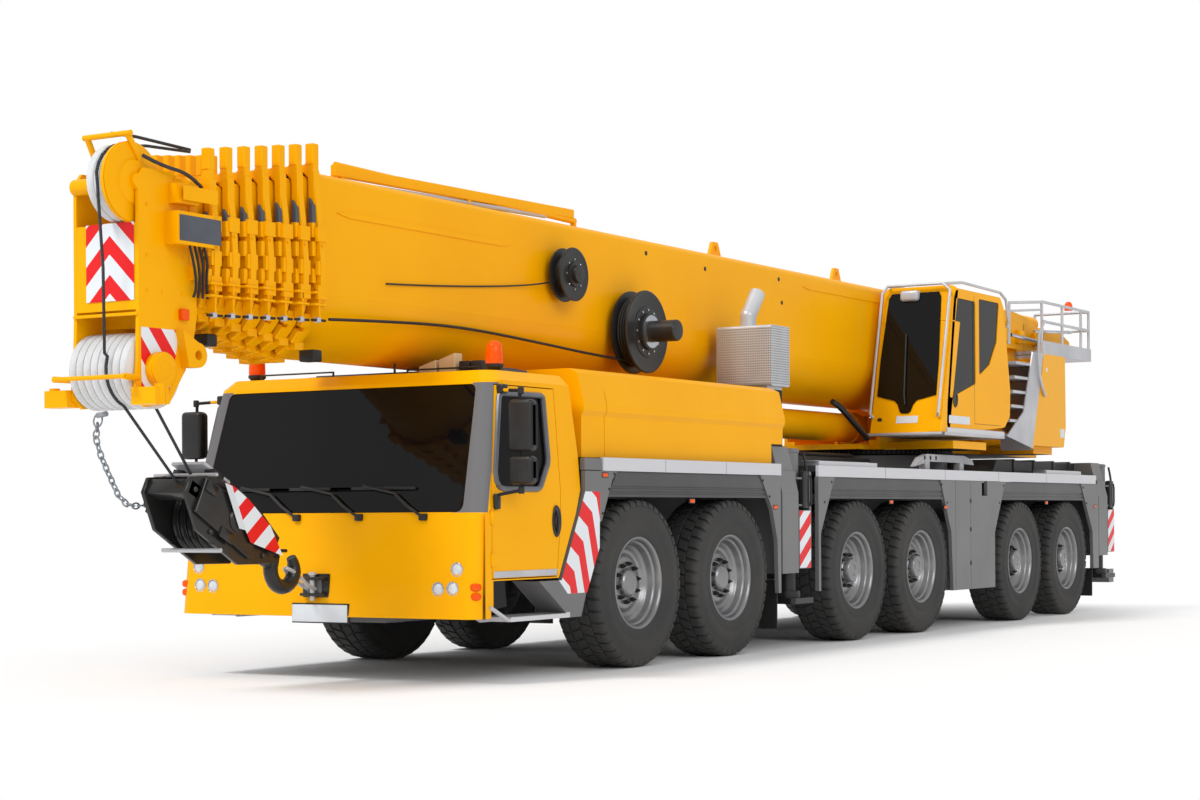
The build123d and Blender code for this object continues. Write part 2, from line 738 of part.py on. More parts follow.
# Superstructure
def build_superstructure():
    base = cyl_z(SLEW_X, 0, RING_TOP_Z, RING_TOP_Z + 70, SLEW_RING_R + 40)
    plate_z = RING_TOP_Z + 50
    base += box(AXLE1_X - 11900, SLEW_X + 1250, -480, 480, plate_z, plate_z + 60)
    cheek = side_profile(
        [
            (SLEW_X + 950, plate_z),
            (SLEW_X + 950, plate_z + 260),
            (SLEW_X - 500, plate_z + 420),
            (BOOM_PIVOT_X + 480, BOOM_PIVOT_Z + 60),
            (BOOM_PIVOT_X + 200, BOOM_PIVOT_Z + 300),
            (BOOM_PIVOT_X - 230, BOOM_PIVOT_Z + 270),
            (BOOM_PIVOT_X - 560, BOOM_PIVOT_Z - 260),
            (BOOM_PIVOT_X - 1500, BOOM_PIVOT_Z - 640),
            (BOOM_PIVOT_X - 1600, plate_z),
        ],
        CHEEK_Y,
        CHEEK_Y + CHEEK_T,
    )
    window = side_profile(
        [
            (SLEW_X - 900, plate_z + 260),
            (BOOM_PIVOT_X + 300, BOOM_PIVOT_Z - 420),
            (BOOM_PIVOT_X - 250, BOOM_PIVOT_Z - 420),
            (BOOM_PIVOT_X - 250, plate_z + 260),
        ],
        CHEEK_Y - 10,
        CHEEK_Y + CHEEK_T + 10,
        80,
    )
    sill = box(AXLE1_X - 11900, SLEW_X + 950, 470, CHEEK_Y + CHEEK_T, plate_z, plate_z + 110)
    base += both_sides(cheek - window + sill)
    base += both_sides(cyl_y(BOOM_PIVOT_X, 515, CHEEK_Y + CHEEK_T + 45, BOOM_PIVOT_Z, 120))
    base += both_sides(cyl_y(BOOM_PIVOT_X, CHEEK_Y + CHEEK_T, CHEEK_Y + CHEEK_T + 25, BOOM_PIVOT_Z, 190))
    foot = box(FOOT_X - 120, FOOT_X + 120, 190, 230, plate_z, FOOT_Z + 120) + cyl_y(FOOT_X, 130, 240, FOOT_Z, 70)
    base += both_sides(foot)
    carrier_arm = box(SLEW_X - 300, SLEW_X + 700, CHEEK_Y, CRANE_CAB_Y1 - 60, plate_z, plate_z + 90)
    base += carrier_arm
    base += box(AXLE1_X - 10560, AXLE1_X - 9900, CHEEK_Y, 1300, plate_z, plate_z + 90)
    base += box(AXLE1_X - 11900, AXLE1_X - 11860, -470, 470, plate_z, plate_z + 130)
    export(base, "superstructure")

    winch = cyl_y(AXLE1_X - 11550, -430, 430, 2560, 300)
    winch += both_sides(cyl_y(AXLE1_X - 11550, 430, 465, 2560, 400))
    winch += both_sides(box(AXLE1_X - 11700, AXLE1_X - 11400, 430, 465, plate_z + 60, 2560))
    export(winch, "hoist_winch")


def build_walkway():
    # Stairs behind the crane cab, tail box, platform and its railing, on the left side
    a = AXLE1_X
    y0 = 660
    y1 = 1450
    tail = side_profile(
        [(a - 9480, 2100), (a - 9860, 3150), (a - 9860, 3240), (a - 10640, 3240), (a - 10660, 2360), (a - 10580, 2100)],
        y0,
        y1,
        20,
    )
    deck = box(a - 11640, a - 9850, y0, y1, 3238, 3280)
    tail += deck + box(a - 11640, a - 9850, y1 - 30, y1, 3275, 3400)
    steps = 6
    for k in range(steps):
        z = 2190 + k * 175
        x = a - 8700 - k * 55
        tail += box(a - 9490 - (z - 2100) * 0.34, x, y1 - 420, y1 - 16, z, z + 28)
    stringer = side_profile(
        [(a - 8620, 2190), (a - 9500, 2060), (a - 9860, 3240), (a - 9500, 3240), (a - 9180, 2500)],
        y1 - 16,
        y1,
    )
    tail += stringer
    for x in (a - 9870, a - 10600, a - 11300, a - 11600):
        tail += rod_between((x, y1 - 20, 3390), (x, y1 - 20, 3880), 18)
    for z in (3640, 3880):
        tail += rod_between((a - 9870, y1 - 20, z), (a - 11610, y1 - 20, z), 18)
    tail += rod_between((a - 11605, y1 - 20, 3880), (a - 11605, y0 + 40, 3880), 18)
    tail += rod_between((a - 11605, y1 - 20, 3640), (a - 11605, y0 + 40, 3640), 18)
    tail += rod_between((a - 11605, y0 + 40, 3270), (a - 11605, y0 + 40, 3880), 18)
    export(tail, "side_walkway")


def crane_cab_outline(inset):
    x = CRANE_CAB_FRONT_X
    i = inset
    return [
        (x - i, 2230 + i),
        (x - 20 - i, 2500),
        (x - 225 - i, 3700 - i),
        (x - 310, 3810 - i),
        (x - 1640, 3810 - i),
        (x - 1750 + i, 3700 - i),
        (x - 1950 + i, 2720),
        (x - 1930 + i, 2420),
        (x - 1760 + i, 2290 + i),
        (x - 1000, 2230 + i),
    ]


def crane_cab_windows(gap):
    # Front screen with its lower edge dipping to a point, and two side windows
    x = CRANE_CAB_FRONT_X
    y0 = CRANE_CAB_Y0
    y1 = CRANE_CAB_Y1
    middle = (y0 + y1) / 2
    front = cross_profile(
        [
            (y0 + 60 + gap, 2650 + gap),
            (middle, 2500 + gap),
            (y1 - 60 - gap, 2650 + gap),
            (y1 - 60 - gap, 3680 - gap),
            (y0 + 60 + gap, 3680 - gap),
        ],
        x - 320,
        x + 60,
    )
    door_window = side_profile(
        [
            (x - 90 - gap, 2560 + gap),
            (x - 860 + gap, 2760 + gap),
            (x - 860 + gap, 3700 - gap),
            (x - 300 - gap, 3700 - gap),
        ],
        y1 - 120,
        y1 + 10,
        30,
    )
    rear_window = side_profile(
        [
            (x - 970 - gap, 2860 + gap),
            (x - 1290, 3000 + gap),
            (x - 1520 + gap, 3280),
            (x - 1600 + gap, 3740 - gap),
            (x - 970 - gap, 3740 - gap),
        ],
        y1 - 120,
        y1 + 10,
        30,
    )
    return front, door_window, rear_window


def build_crane_cab():
    y0 = CRANE_CAB_Y0
    y1 = CRANE_CAB_Y1
    outer = side_profile(crane_cab_outline(0), y0, y1, 60)
    shell = outer - side_profile(crane_cab_outline(45), y0 + 45, y1 - 45, 40)
    for window in crane_cab_windows(0):
        shell -= window
    x = CRANE_CAB_FRONT_X
    shell += box(x - 1700, x + 30, y0, y1 + 20, 2150, 2235)
    export(shell, "crane_cab")
    shapes = crane_cab_windows(3)
    skin = side_profile(crane_cab_outline(10), y0 + 10, y1 - 10, 55)
    skin -= side_profile(crane_cab_outline(17), y0 + 17, y1 - 17, 50)
    panes = [skin & shape for shape in shapes]
    export(Compound(children=panes), "crane_cab_glass")


# Boom
def boom_face(x, inset):
    # Flat top with rounded shoulders, straight sides and a round belly
    w = BOOM_HALF - inset
    top = BOOM_TOP_Z - inset
    low = BOOM_LOW_Z + inset
    side = BOOM_LOW_Z + BOOM_BELLY
    r = 70 - inset * 0.1
    k = r * (1 - cos(pi / 4))
    edges = [
        Line((x, -w + r, top), (x, w - r, top)),
        ThreePointArc((x, w - r, top), (x, w - k, top - k), (x, w, top - r)),
        Line((x, w, top - r), (x, w, side)),
        ThreePointArc((x, w, side), (x, 0, low), (x, -w, side)),
        Line((x, -w, side), (x, -w, top - r)),
        ThreePointArc((x, -w, top - r), (x, -w + k, top - k), (x, -w + r, top)),
    ]
    return Face(Wire(edges))


def boom_tube(x0, x1, inset, wall):
    outer = extrude(boom_face(x0, inset), amount=x1 - x0, dir=(1, 0, 0))
    inner = extrude(boom_face(x0 - 10, inset + wall), amount=x1 - x0 + 20, dir=(1, 0, 0))
    return outer - inner


def collar(k):
    # Collar round the mouth of a section: a stiff ring with bulging side frames, a prong that
    # stands up on each shoulder, stepped lugs down the sides and pads under the belly
    front = BOOM_FRONT_X + COLLAR_PITCH * k
    rear = front - COLLAR_T
    inset = BOOM_STEP * k
    w = BOOM_HALF - inset
    top = BOOM_TOP_Z - inset
    low = BOOM_LOW_Z + inset
    spread = COLLAR_RISE - COLLAR_TAPER * k
    ring = boom_tube(rear, front, inset - 42, 47)
    prong_top = PRONG_TOP - PRONG_STEP * k
    frame = side_frame(w, top, spread, prong_top)
    ring += both_sides(cross_profile(frame, rear, front - 10))
    for z in (3330, 3080, 2900):
        ring += both_sides(box(rear - 22, front + 18, w + spread - 34, w + spread - 6, z, z + 105))
    for y in (0.25, 0.62):
        across = y * w
        sag = (BOOM_BELLY - inset) * (1 - y * y) ** 0.5
        z = BOOM_LOW_Z + BOOM_BELLY - sag
        ring += both_sides(box(rear - 20, front + 14, across - 55, across + 55, z - 62, z - 5))
    ring += box(rear, front, -120, 120, low - 48, low - 2)
    return ring


def side_frame(w, top, spread, prong_top):
    # Left half of a collar's frame, in Y and Z: it bulges at mid-height and ends in the prong
    return [
        (w - 40, prong_top),
        (w + spread * 0.28, prong_top),
        (w + spread * 0.34, top - 60),
        (w + spread * 0.78, 3420),
        (w + spread, 3150),
        (w + spread * 0.92, 2930),
        (w + spread * 0.5, 2800),
        (w + 2, 2800),
        (w + 2, top - 75),
        (w - 90, top + 4),
        (w - 40, top + 60),
    ]


def boom_eye(x):
    eye = side_profile([(x - 170, BOOM_TOP_Z - 4), (x + 170, BOOM_TOP_Z - 4), (x + 55, 4110), (x - 55, 4110)], -18, 18)
    return eye - cyl_y(x, -30, 30, 4040, 30)


def build_boom_base():
    base = boom_tube(BOOM_REAR_X, BOOM_FRONT_X, 0, BOOM_WALL)
    base += collar(0)
    base -= cyl_y(BOOM_PIVOT_X, -600, 600, BOOM_PIVOT_Z, 125)
    hub = cyl_y(BOOM_PIVOT_X, BOOM_HALF - 5, BOOM_HALF + 45, BOOM_PIVOT_Z, 215)
    base += both_sides(hub - cyl_y(BOOM_PIVOT_X, 480, 560, BOOM_PIVOT_Z, 125))
    for side in (1, -1):
        base += box(EYE_X - 260, EYE_X + 260, side * 190, side * 240, BOOM_LOW_Z - 60, BOOM_LOW_Z + 55)
        lug = side_profile(
            [(EYE_X - 260, BOOM_LOW_Z - 20), (EYE_X + 260, BOOM_LOW_Z - 20), (EYE_X + 90, FOOT_Z), (EYE_X - 90, FOOT_Z)],
            side * 190,
            side * 240,
        )
        base += lug + cyl_y(EYE_X, side * 190, side * 250, FOOT_Z, 110)
    long_ribs = (
        (AXLE1_X + 2850, AXLE1_X + 470, 3560, 50),
        (AXLE1_X - 5100, AXLE1_X - 7500, 3690, 44),
    )
    for x1, x0, z, height in long_ribs:
        rib = [(x0, z + height * 0.5), (x0 + 160, z), (x1 - 160, z), (x1, z + height * 0.5), (x1 - 160, z + height),
               (x0 + 160, z + height)]
        base += both_sides(side_profile(rib, BOOM_HALF - 3, BOOM_HALF + 9))
    for x in (AXLE1_X - 4060, AXLE1_X - 6980):
        base += boom_eye(x)
    bar = rod_between((AXLE1_X + 2670, 350, 3985), (AXLE1_X - 780, 350, 3935), 26)
    for x in (AXLE1_X + 2600, AXLE1_X + 900, AXLE1_X - 760):
        bar += box(x - 20, x + 20, 330, 370, BOOM_TOP_Z - 4, 3960)
    base += bar
    export(base, "boom_base")


def build_reels():
    # Hose reel with its motor and the smaller cable reel, on brackets on the boom's left side
    y0 = BOOM_HALF
    big_x = AXLE1_X - 1420
    big_z = 2965
    big = cyl_y(big_x, y0 + 60, y0 + 82, big_z, 375) + cyl_y(big_x, y0 + 210, y0 + 232, big_z, 375)
    big += cyl_y(big_x, y0 + 70, y0 + 220, big_z, 300)
    big += cyl_y(big_x, y0, y0 + 70, big_z, 120)
    big += cyl_y(big_x, y0 + 225, y0 + 270, big_z, 150)
    big += cyl_y(big_x, y0 + 260, y0 + 560, big_z, 98)
    small_x = AXLE1_X - 250
    small_z = 3390
    small = cyl_y(small_x, y0 + 60, y0 + 75, small_z, 235) + cyl_y(small_x, y0 + 165, y0 + 180, small_z, 235)
    small += cyl_y(small_x, y0 + 70, y0 + 170, small_z, 165)
    small += cyl_y(small_x, y0, y0 + 70, small_z, 90)
    small += cyl_y(small_x, y0 + 175, y0 + 240, small_z, 80)
    export(Compound(children=[big, small]), "cable_reels")


def build_sections():
    for k in range(1, BOOM_SECTIONS):
        front = BOOM_FRONT_X + COLLAR_PITCH * k
        section = boom_tube(SECTION_REAR_X + 40 * k, front, BOOM_STEP * k, BOOM_WALL)
        export(section + collar(k), "boom_section_%d" % k)
    front = BOOM_FRONT_X + COLLAR_PITCH * BOOM_SECTIONS
    section = boom_tube(SECTION_REAR_X + 40 * BOOM_SECTIONS, front, BOOM_STEP * BOOM_SECTIONS, BOOM_WALL)
    export(section + boom_head(front), "boom_section_7")


def boom_head(rear):
    # Two side plates joined by front and rear plates, open above and below for the sheaves
    inset = BOOM_STEP * BOOM_SECTIONS
    front = HEAD_FRONT_X
    y0 = HEAD_HALF - HEAD_WALL
    y1 = HEAD_HALF
    plate = side_profile(
        [
            (rear - 60, 3560),
            (front - 330, 3700),
            (front - 60, 3700),
            (front, 3620),
            (front, 2720),
            (front + 10, 2400),
            (front + 40, 2110),
            (front - 60, 2050),
            (front - 300, 2080),
            (front - 420, 2260),
            (rear + 60, 2320),
            (rear - 30, 2560),
            (rear - 60, 2700),
        ],
        y0,
        y1,
    )
    lug = side_profile([(LUG_X + 160, 2600), (LUG_X + 100, 2340), (LUG_X, 2340), (LUG_X - 90, 2430), (LUG_X, 2520)],
                       y1 - 5, y1 + 75)
    lug += cyl_y(LUG_X, y1 - 5, y1 + 75, LUG_Z, 88)
    lug -= cyl_y(LUG_X, y0 - 10, y1 + 90, LUG_Z, LUG_BORE_R)
    plate -= cyl_y(LUG_X, y0 - 10, y1 - 5, LUG_Z, 95)
    plate -= cyl_y(LUG_X, y0 - 10, y1 + 90, LUG_Z, LUG_BORE_R)
    cap = cyl_y(LOW_SHEAVE_X, y1 - 5, y1 + 60, LOW_SHEAVE_Z, 125)
    bracket = box(front - 60, front + 75, y1 - 5, y1 + 215, 2060, 2180)
    bracket += cyl_z(front, y1 + 190, 2060, 2200, 38)
    side = plate + lug + cap + bracket
    side += box(rear - 40, front - 500, y1 - 5, y1 + 48, 2960, 3060)
    head = both_sides(side)
    head += boom_tube(rear - 60, rear + 20, inset - 40, 44)
    head += box(front - 26, front - 1, -y0 - 2, y0 + 2, 2720, 3320)
    head += box(front - 300, front - 270, -y0 - 2, y0 + 2, 2620, 3320)
    head += box(rear - 10, rear + 20, -y0 - 2, y0 + 2, 2560, 3520)
    ring_x = TOP_SHEAVE_X
    cheek = cyl_y(ring_x, 205, 232, TOP_SHEAVE_Z, SHEAVE_R + 12)
    cheek += box(ring_x - 120, ring_x - 20, 205, 300, TOP_SHEAVE_Z - 120, TOP_SHEAVE_Z + 60)
    head += cheek
    head += cyl_y(LOW_SHEAVE_X, -y1, y1, LOW_SHEAVE_Z, 70)
    head += cyl_y(TOP_SHEAVE_X, -y1, y1, TOP_SHEAVE_Z, 58)
    for y in (-120, 255):
        head += rod_between((ring_x - 60, y, 3690 if y < 0 else 3750), (ring_x + 70, y, 3925), 22)
    head += rod_between((ring_x + 70, -150, 3925), (ring_x + 70, 290, 3925), 20)
    head += rod_between((front + 165, -340, 2250), (front + 165, 340, 2250), 16)
    for y in (-330, 330):
        head += rod_between((front, y * 0.9, 2250), (front + 175, y, 2250), 22)
    box_x = AXLE1_X + 4330
    head += box(box_x - 190, box_x + 190, y1 - 2, y1 + 120, 3190, 3420)
    head += box(box_x - 60, box_x + 150, y1 - 2, y1 + 90, 3480, 3620)
    return head


def grooved_sheave(x, y, z, radius, bore):
    # Rope sheave with a round groove
    w = 30
    points = [(bore, -w), (radius, -w), (radius - 42, 0), (radius, w), (bore, w)]
    disc = revolve(outline([Vector(r, a, 0) for r, a in points], 0), axis=Axis.Y)
    return Pos(x, y, z) * disc


def build_sheaves():
    sheaves = []
    first = -SHEAVE_PITCH * (LOW_SHEAVES - 1) / 2
    for k in range(LOW_SHEAVES):
        sheaves.append(grooved_sheave(LOW_SHEAVE_X, first + SHEAVE_PITCH * k, LOW_SHEAVE_Z, SHEAVE_R, 71))
    for y in (95, 163):
        sheaves.append(grooved_sheave(TOP_SHEAVE_X, y, TOP_SHEAVE_Z, SHEAVE_R, 59))
    export(Compound(children=sheaves), "head_sheaves")


def build_hook_block():
    # Cheek plates round the block's sheaves, and the hook hanging from its crosshead
    cheek_points = [(560, -60), (560, 60), (330, 270), (-180, 290), (-470, 170), (-520, 60), (-520, -60), (-470, -170),
                    (-180, -290), (330, -270)]
    block = side_profile(cheek_points, 180, 215)
    block += side_profile([(430, -150), (430, 150), (-250, 200), (-250, -200)], 213, 250)
    block = both_sides(block)
    block += cyl_y(0, -230, 230, 0, 90)
    for k in range(5):
        y = -136 + 68 * k
        block += Pos(0, y, 0) * Rot(90, 0, 0) * Cylinder(262, 52)
    block += cyl_y(-440, -215, 215, 0, 70)
    block += box(420, 540, -215, 215, -60, 60)
    block += cyl_x(-640, -430, 0, 0, 62)
    ring = Pos(-770, 0, -40) * Rot(90, 0, 0) * Torus(125, 52)
    ring -= box(-1000, -780, -80, 80, -20, 160)
    block += ring
    placed = Pos(HOOK_X, 0, HOOK_Z) * Rot(0, -HOOK_TILT, 0) * block
    export(placed, "hook_block")


# Luffing cylinder
def build_luffing_cylinder():
    barrel = cyl_x(FOOT_X + 120, FOOT_X + BARREL_LENGTH, 0, FOOT_Z, BARREL_R - 20)
    barrel += cyl_x(FOOT_X + 120, FOOT_X + 300, 0, FOOT_Z, BARREL_R)
    barrel += cyl_x(FOOT_X + BARREL_LENGTH - 220, FOOT_X + BARREL_LENGTH, 0, FOOT_Z, BARREL_R)
    barrel -= cyl_x(FOOT_X + 200, FOOT_X + BARREL_LENGTH + 100, 0, FOOT_Z, ROD_R + ROD_CLEAR)
    barrel += box(FOOT_X, FOOT_X + 140, -120, 120, FOOT_Z - 110, FOOT_Z + 110)
    barrel += cyl_y(FOOT_X, -120, 120, FOOT_Z, 150)
    export(barrel, "luffing_barrel")
    rod = cyl_x(FOOT_X + 230, EYE_X, 0, FOOT_Z, ROD_R)
    rod += cyl_y(EYE_X, -150, 150, FOOT_Z, 140)
    export(rod, "luffing_rod")


os.makedirs("parts", exist_ok=True)
build_running_gear()
build_chassis()
build_deck()
build_arches()
build_side_panels()
build_outriggers()
build_driver_cab()
build_doors()
build_engine()
build_superstructure()
build_walkway()
build_crane_cab()
build_boom_base()
build_reels()
build_sections()
build_sheaves()
build_hook_block()
build_luffing_cylinder()
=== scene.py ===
import bpy
from math import atan2, cos, degrees, pi, radians, sin, sqrt
from mathutils import Matrix, Quaternion, Vector


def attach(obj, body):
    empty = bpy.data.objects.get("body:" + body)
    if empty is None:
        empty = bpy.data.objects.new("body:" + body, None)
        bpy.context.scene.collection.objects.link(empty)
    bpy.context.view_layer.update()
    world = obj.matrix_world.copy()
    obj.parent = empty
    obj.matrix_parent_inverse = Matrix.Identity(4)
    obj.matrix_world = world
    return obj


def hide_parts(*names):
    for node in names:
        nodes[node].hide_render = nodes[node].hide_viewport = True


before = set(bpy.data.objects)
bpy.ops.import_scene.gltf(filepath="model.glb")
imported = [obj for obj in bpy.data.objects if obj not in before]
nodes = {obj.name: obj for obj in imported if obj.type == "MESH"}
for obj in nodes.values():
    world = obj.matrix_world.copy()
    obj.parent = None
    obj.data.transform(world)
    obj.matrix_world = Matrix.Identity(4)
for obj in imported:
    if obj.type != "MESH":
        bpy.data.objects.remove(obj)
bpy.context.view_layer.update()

AXLE_X = {1: 4.0, 2: 2.35, 3: -0.37, 4: -2.02, 5: -4.99, 6: -6.64}
AXLE_Z = 0.71
WHEEL_Y = 1.262
SIDES = {"left": 1, "right": -1}
PANEL_Y = 1.496
RAIL_Y = 1.5
JACK_X = {"front": 1.02, "rear": -8.13}
LANE = 0.142
COLLAR_X = 7.17
COLLAR_PITCH = 0.155
SECTION_STEP = 0.032
TREAD_PITCHES = 42


# Camera
def place_camera():
    yaw, pitch, roll = 0.5403, 0.001311, -0.006254
    look = Vector((-cos(yaw) * cos(pitch), -sin(yaw) * cos(pitch), sin(pitch)))
    level = look.cross(Vector((0, 0, 1))).normalized()
    up = level.cross(look)
    right = level * cos(roll) + up * sin(roll)
    top = up * cos(roll) - level * sin(roll)
    data = bpy.data.cameras.new("camera")
    camera = bpy.data.objects.new("camera", data)
    bpy.context.scene.collection.objects.link(camera)
    turn = Matrix((right, top, -look)).transposed().to_4x4()
    camera.matrix_world = Matrix.Translation((20.03, 10.89, 1.285)) @ turn
    data.lens = 66.0
    data.sensor_width = 36.0
    data.shift_x = -0.0164
    data.shift_y = 0.0935
    data.clip_end = 200
    bpy.context.scene.camera = camera


place_camera()


# Finishes: every one is mixed from Object coordinates
def tone(r, g, b):
    """A screen colour, 0 to 255, as the shader wants it."""
    return tuple(((v / 255 + 0.055) / 1.055) ** 2.4 if v > 10 else v / 255 / 12.92 for v in (r, g, b)) + (1.0,)


class Finish:
    """A material with an even base, slight variation, and zones that are masked by place."""

    def __init__(self, name, colour, rough=0.4, metal=0.0, coat=0.0, shine=0.3):
        self.material = bpy.data.materials.new(name)
        self.material.use_nodes = True
        self.tree = self.material.node_tree
        self.shader = self.tree.nodes["Principled BSDF"]
        self.place = self.node("ShaderNodeTexCoord").outputs["Object"]
        self.colour = colour
        self.rough = rough
        self.shader.inputs["Base Color"].default_value = colour
        self.shader.inputs["Roughness"].default_value = rough
        self.shader.inputs["Metallic"].default_value = metal
        self.shader.inputs["Coat Weight"].default_value = coat
        self.shader.inputs["Coat Roughness"].default_value = 0.08
        self.shader.inputs["Specular IOR Level"].default_value = shine
        self.colour_from = None
        self.rough_from = None
        self.height_from = None

    def node(self, kind):
        return self.tree.nodes.new(kind)

    def join(self, a, b):
        self.tree.links.new(a, b)

    def noise(self, scale, detail=3.0, stretch=None):
        texture = self.node("ShaderNodeTexNoise")
        texture.inputs["Scale"].default_value = scale
        texture.inputs["Detail"].default_value = detail
        source = self.place
        if stretch:
            mapping = self.node("ShaderNodeMapping")
            mapping.inputs["Scale"].default_value = stretch
            self.join(self.place, mapping.inputs["Vector"])
            source = mapping.outputs["Vector"]
        self.join(source, texture.inputs["Vector"])
        return texture.outputs["Fac"]

    def math(self, kind, a, b=None, c=None):
        node = self.node("ShaderNodeMath")
        node.operation = kind
        for socket, value in zip(node.inputs, (a, b, c)):
            if value is None:
                continue
            if isinstance(value, (int, float)):
                socket.default_value = value
            else:
                self.join(value, socket)
        return node.outputs["Value"]

    def along(self, direction):
        node = self.node("ShaderNodeVectorMath")
        node.operation = "DOT_PRODUCT"
        self.join(self.place, node.inputs[0])
        node.inputs[1].default_value = direction
        return node.outputs["Value"]

    def past(self, direction, distance):
        """1 where the place lies past the distance along the direction."""
        return self.math("GREATER_THAN", self.along(direction), distance)

    def wide(self, distance):
        """1 where the place is further than the distance from the middle plane."""
        return self.math("GREATER_THAN", self.math("ABSOLUTE", self.along((0, 1, 0))), distance)

    def all_of(self, *masks):
        result = masks[0]
        for mask in masks[1:]:
            result = self.math("MULTIPLY", result, mask)
        return result

    def any_of(self, *masks):
        result = masks[0]
        for mask in masks[1:]:
            result = self.math("MAXIMUM", result, mask)
        return result

    def flip(self, mask):
        return self.math("SUBTRACT", 1.0, mask)

    def within(self, low, high):
        """1 inside the box from low to high; None leaves a side open."""
        masks = []
        for axis in range(3):
            direction = tuple(1.0 if k == axis else 0.0 for k in range(3))
            if low[axis] is not None:
                masks.append(self.past(direction, low[axis]))
            if high[axis] is not None:
                back = tuple(-v for v in direction)
                masks.append(self.past(back, -high[axis]))
        return self.all_of(*masks)

    def mix_colour(self, mask, first, second):
        node = self.node("ShaderNodeMix")
        node.data_type = "RGBA"
        self.join(mask, node.inputs["Factor"])
        for socket, value in ((node.inputs[6], first), (node.inputs[7], second)):
            if isinstance(value, tuple):
                socket.default_value = value
            else:
                self.join(value, socket)
        return node.outputs[2]

    def mix_value(self, mask, first, second):
        node = self.node("ShaderNodeMix")
        self.join(mask, node.inputs["Factor"])
        for socket, value in ((node.inputs[2], first), (node.inputs[3], second)):
            if isinstance(value, (int, float)):
                socket.default_value = value
            else:
                self.join(value, socket)
        return node.outputs[0]

    def vary(self, other, scale=1.5, spread=0.08, fine=90.0):
        """Colour drifts to the other one in soft patches, and the gloss drifts with it."""
        soft = self.noise(scale, 4.0)
        small = self.noise(fine, 2.0)
        patch = self.math("MULTIPLY_ADD", soft, 1.6, -0.3)
        self.colour_from = self.mix_colour(self.math("MINIMUM", patch, 1.0), self.colour_from or self.colour, other)
        drift = self.math("MULTIPLY_ADD", small, spread, self.rough - spread / 2)
        self.rough_from = drift
        return self

    def zone(self, mask, colour, rough=None):
        self.colour_from = self.mix_colour(mask, self.colour_from or self.colour, colour)
        if rough is not None:
            self.rough_from = self.mix_value(mask, self.rough_from if self.rough_from else self.rough, rough)
        return self

    def dust(self, height, amount, colour=None):
        """Road dust that thins out with height."""
        level = self.node("ShaderNodeMapRange")
        level.inputs["From Min"].default_value = height
        level.inputs["From Max"].default_value = height - 0.5
        level.inputs["To Max"].default_value = amount
        self.join(self.along((0, 0, 1)), level.inputs["Value"])
        mask = self.math("MULTIPLY", level.outputs["Result"], self.noise(3.0, 6.0))
        return self.zone(mask, colour or tone(96, 90, 82), 0.8)

    def relief(self, height, strength=0.2, distance=0.001):
        bump = self.node("ShaderNodeBump")
        bump.inputs["Strength"].default_value = strength
        bump.inputs["Distance"].default_value = distance
        self.join(height, bump.inputs["Height"])
        self.join(bump.outputs["Normal"], self.shader.inputs["Normal"])
        return self

    def grain(self, scale=400.0, strength=0.15, distance=0.0006):
        return self.relief(self.noise(scale, 2.0), strength, distance)

    def done(self):
        if self.colour_from:
            self.join(self.colour_from, self.shader.inputs["Base Color"])
        if self.rough_from:
            self.join(self.rough_from, self.shader.inputs["Roughness"])
        return self.material


YELLOW = tone(247, 176, 2)
YELLOW_DEEP = tone(238, 164, 0)
CHASSIS = tone(118, 118, 118)
CHASSIS_DARK = tone(104, 104, 105)
BAND = tone(76, 76, 77)
SILVER = tone(200, 200, 204)
SILVER_DARK = tone(176, 177, 181)
BLACK = tone(26, 26, 27)
SOFT_BLACK = tone(40, 40, 42)
GLASS = tone(9, 9, 10)
RED = tone(226, 24, 28)
WHITE = tone(222, 227, 232)
AMBER = tone(244, 96, 6)


def yellow_paint(name):
    return Finish(name, YELLOW, 0.3, coat=0.04, shine=0.08).vary(YELLOW_DEEP, 0.9, 0.05)


def plain_yellow():
    return yellow_paint("yellow_paint").grain(500, 0.05).done()


def chassis_grey(name="chassis_grey"):
    return Finish(name, CHASSIS, 0.42, coat=0.1).vary(CHASSIS_DARK, 1.2, 0.08)


def band_finish():
    finish = Finish("pressed_band", BAND, 0.34, coat=0.2).vary(tone(58, 58, 60), 2.2, 0.12)
    return finish.grain(220, 0.1).done()


def deck_finish():
    finish = Finish("deck_and_rail", SOFT_BLACK, 0.6).vary(tone(52, 52, 54), 2.0, 0.1)
    rail = finish.wide(1.4695)
    lid = finish.past((0, 0, 1), 1.7615)
    finish.zone(finish.any_of(rail, lid), SILVER, 0.38)
    wave = finish.math("SINE", finish.math("MULTIPLY", finish.along((1, 0, 0)), 260.0))
    cross = finish.math("SINE", finish.math("MULTIPLY", finish.along((0, 1, 0)), 260.0))
    plates = finish.math("MULTIPLY", finish.math("MULTIPLY", wave, cross), finish.flip(rail))
    return finish.relief(plates, 0.25, 0.002).done()


def axle_finish():
    return Finish("axle_black", tone(44, 44, 45), 0.5).vary(tone(60, 58, 56), 3.0, 0.1).grain(160, 0.2).done()


def panel_finish():
    finish = chassis_grey("side_panel_grey")
    stripes_zone(finish)
    step = finish.all_of(finish.within((5.15, None, None), (6.1, None, 0.512)))
    finish.zone(step, SILVER, 0.35)
    return finish.grain(260, 0.08).done()


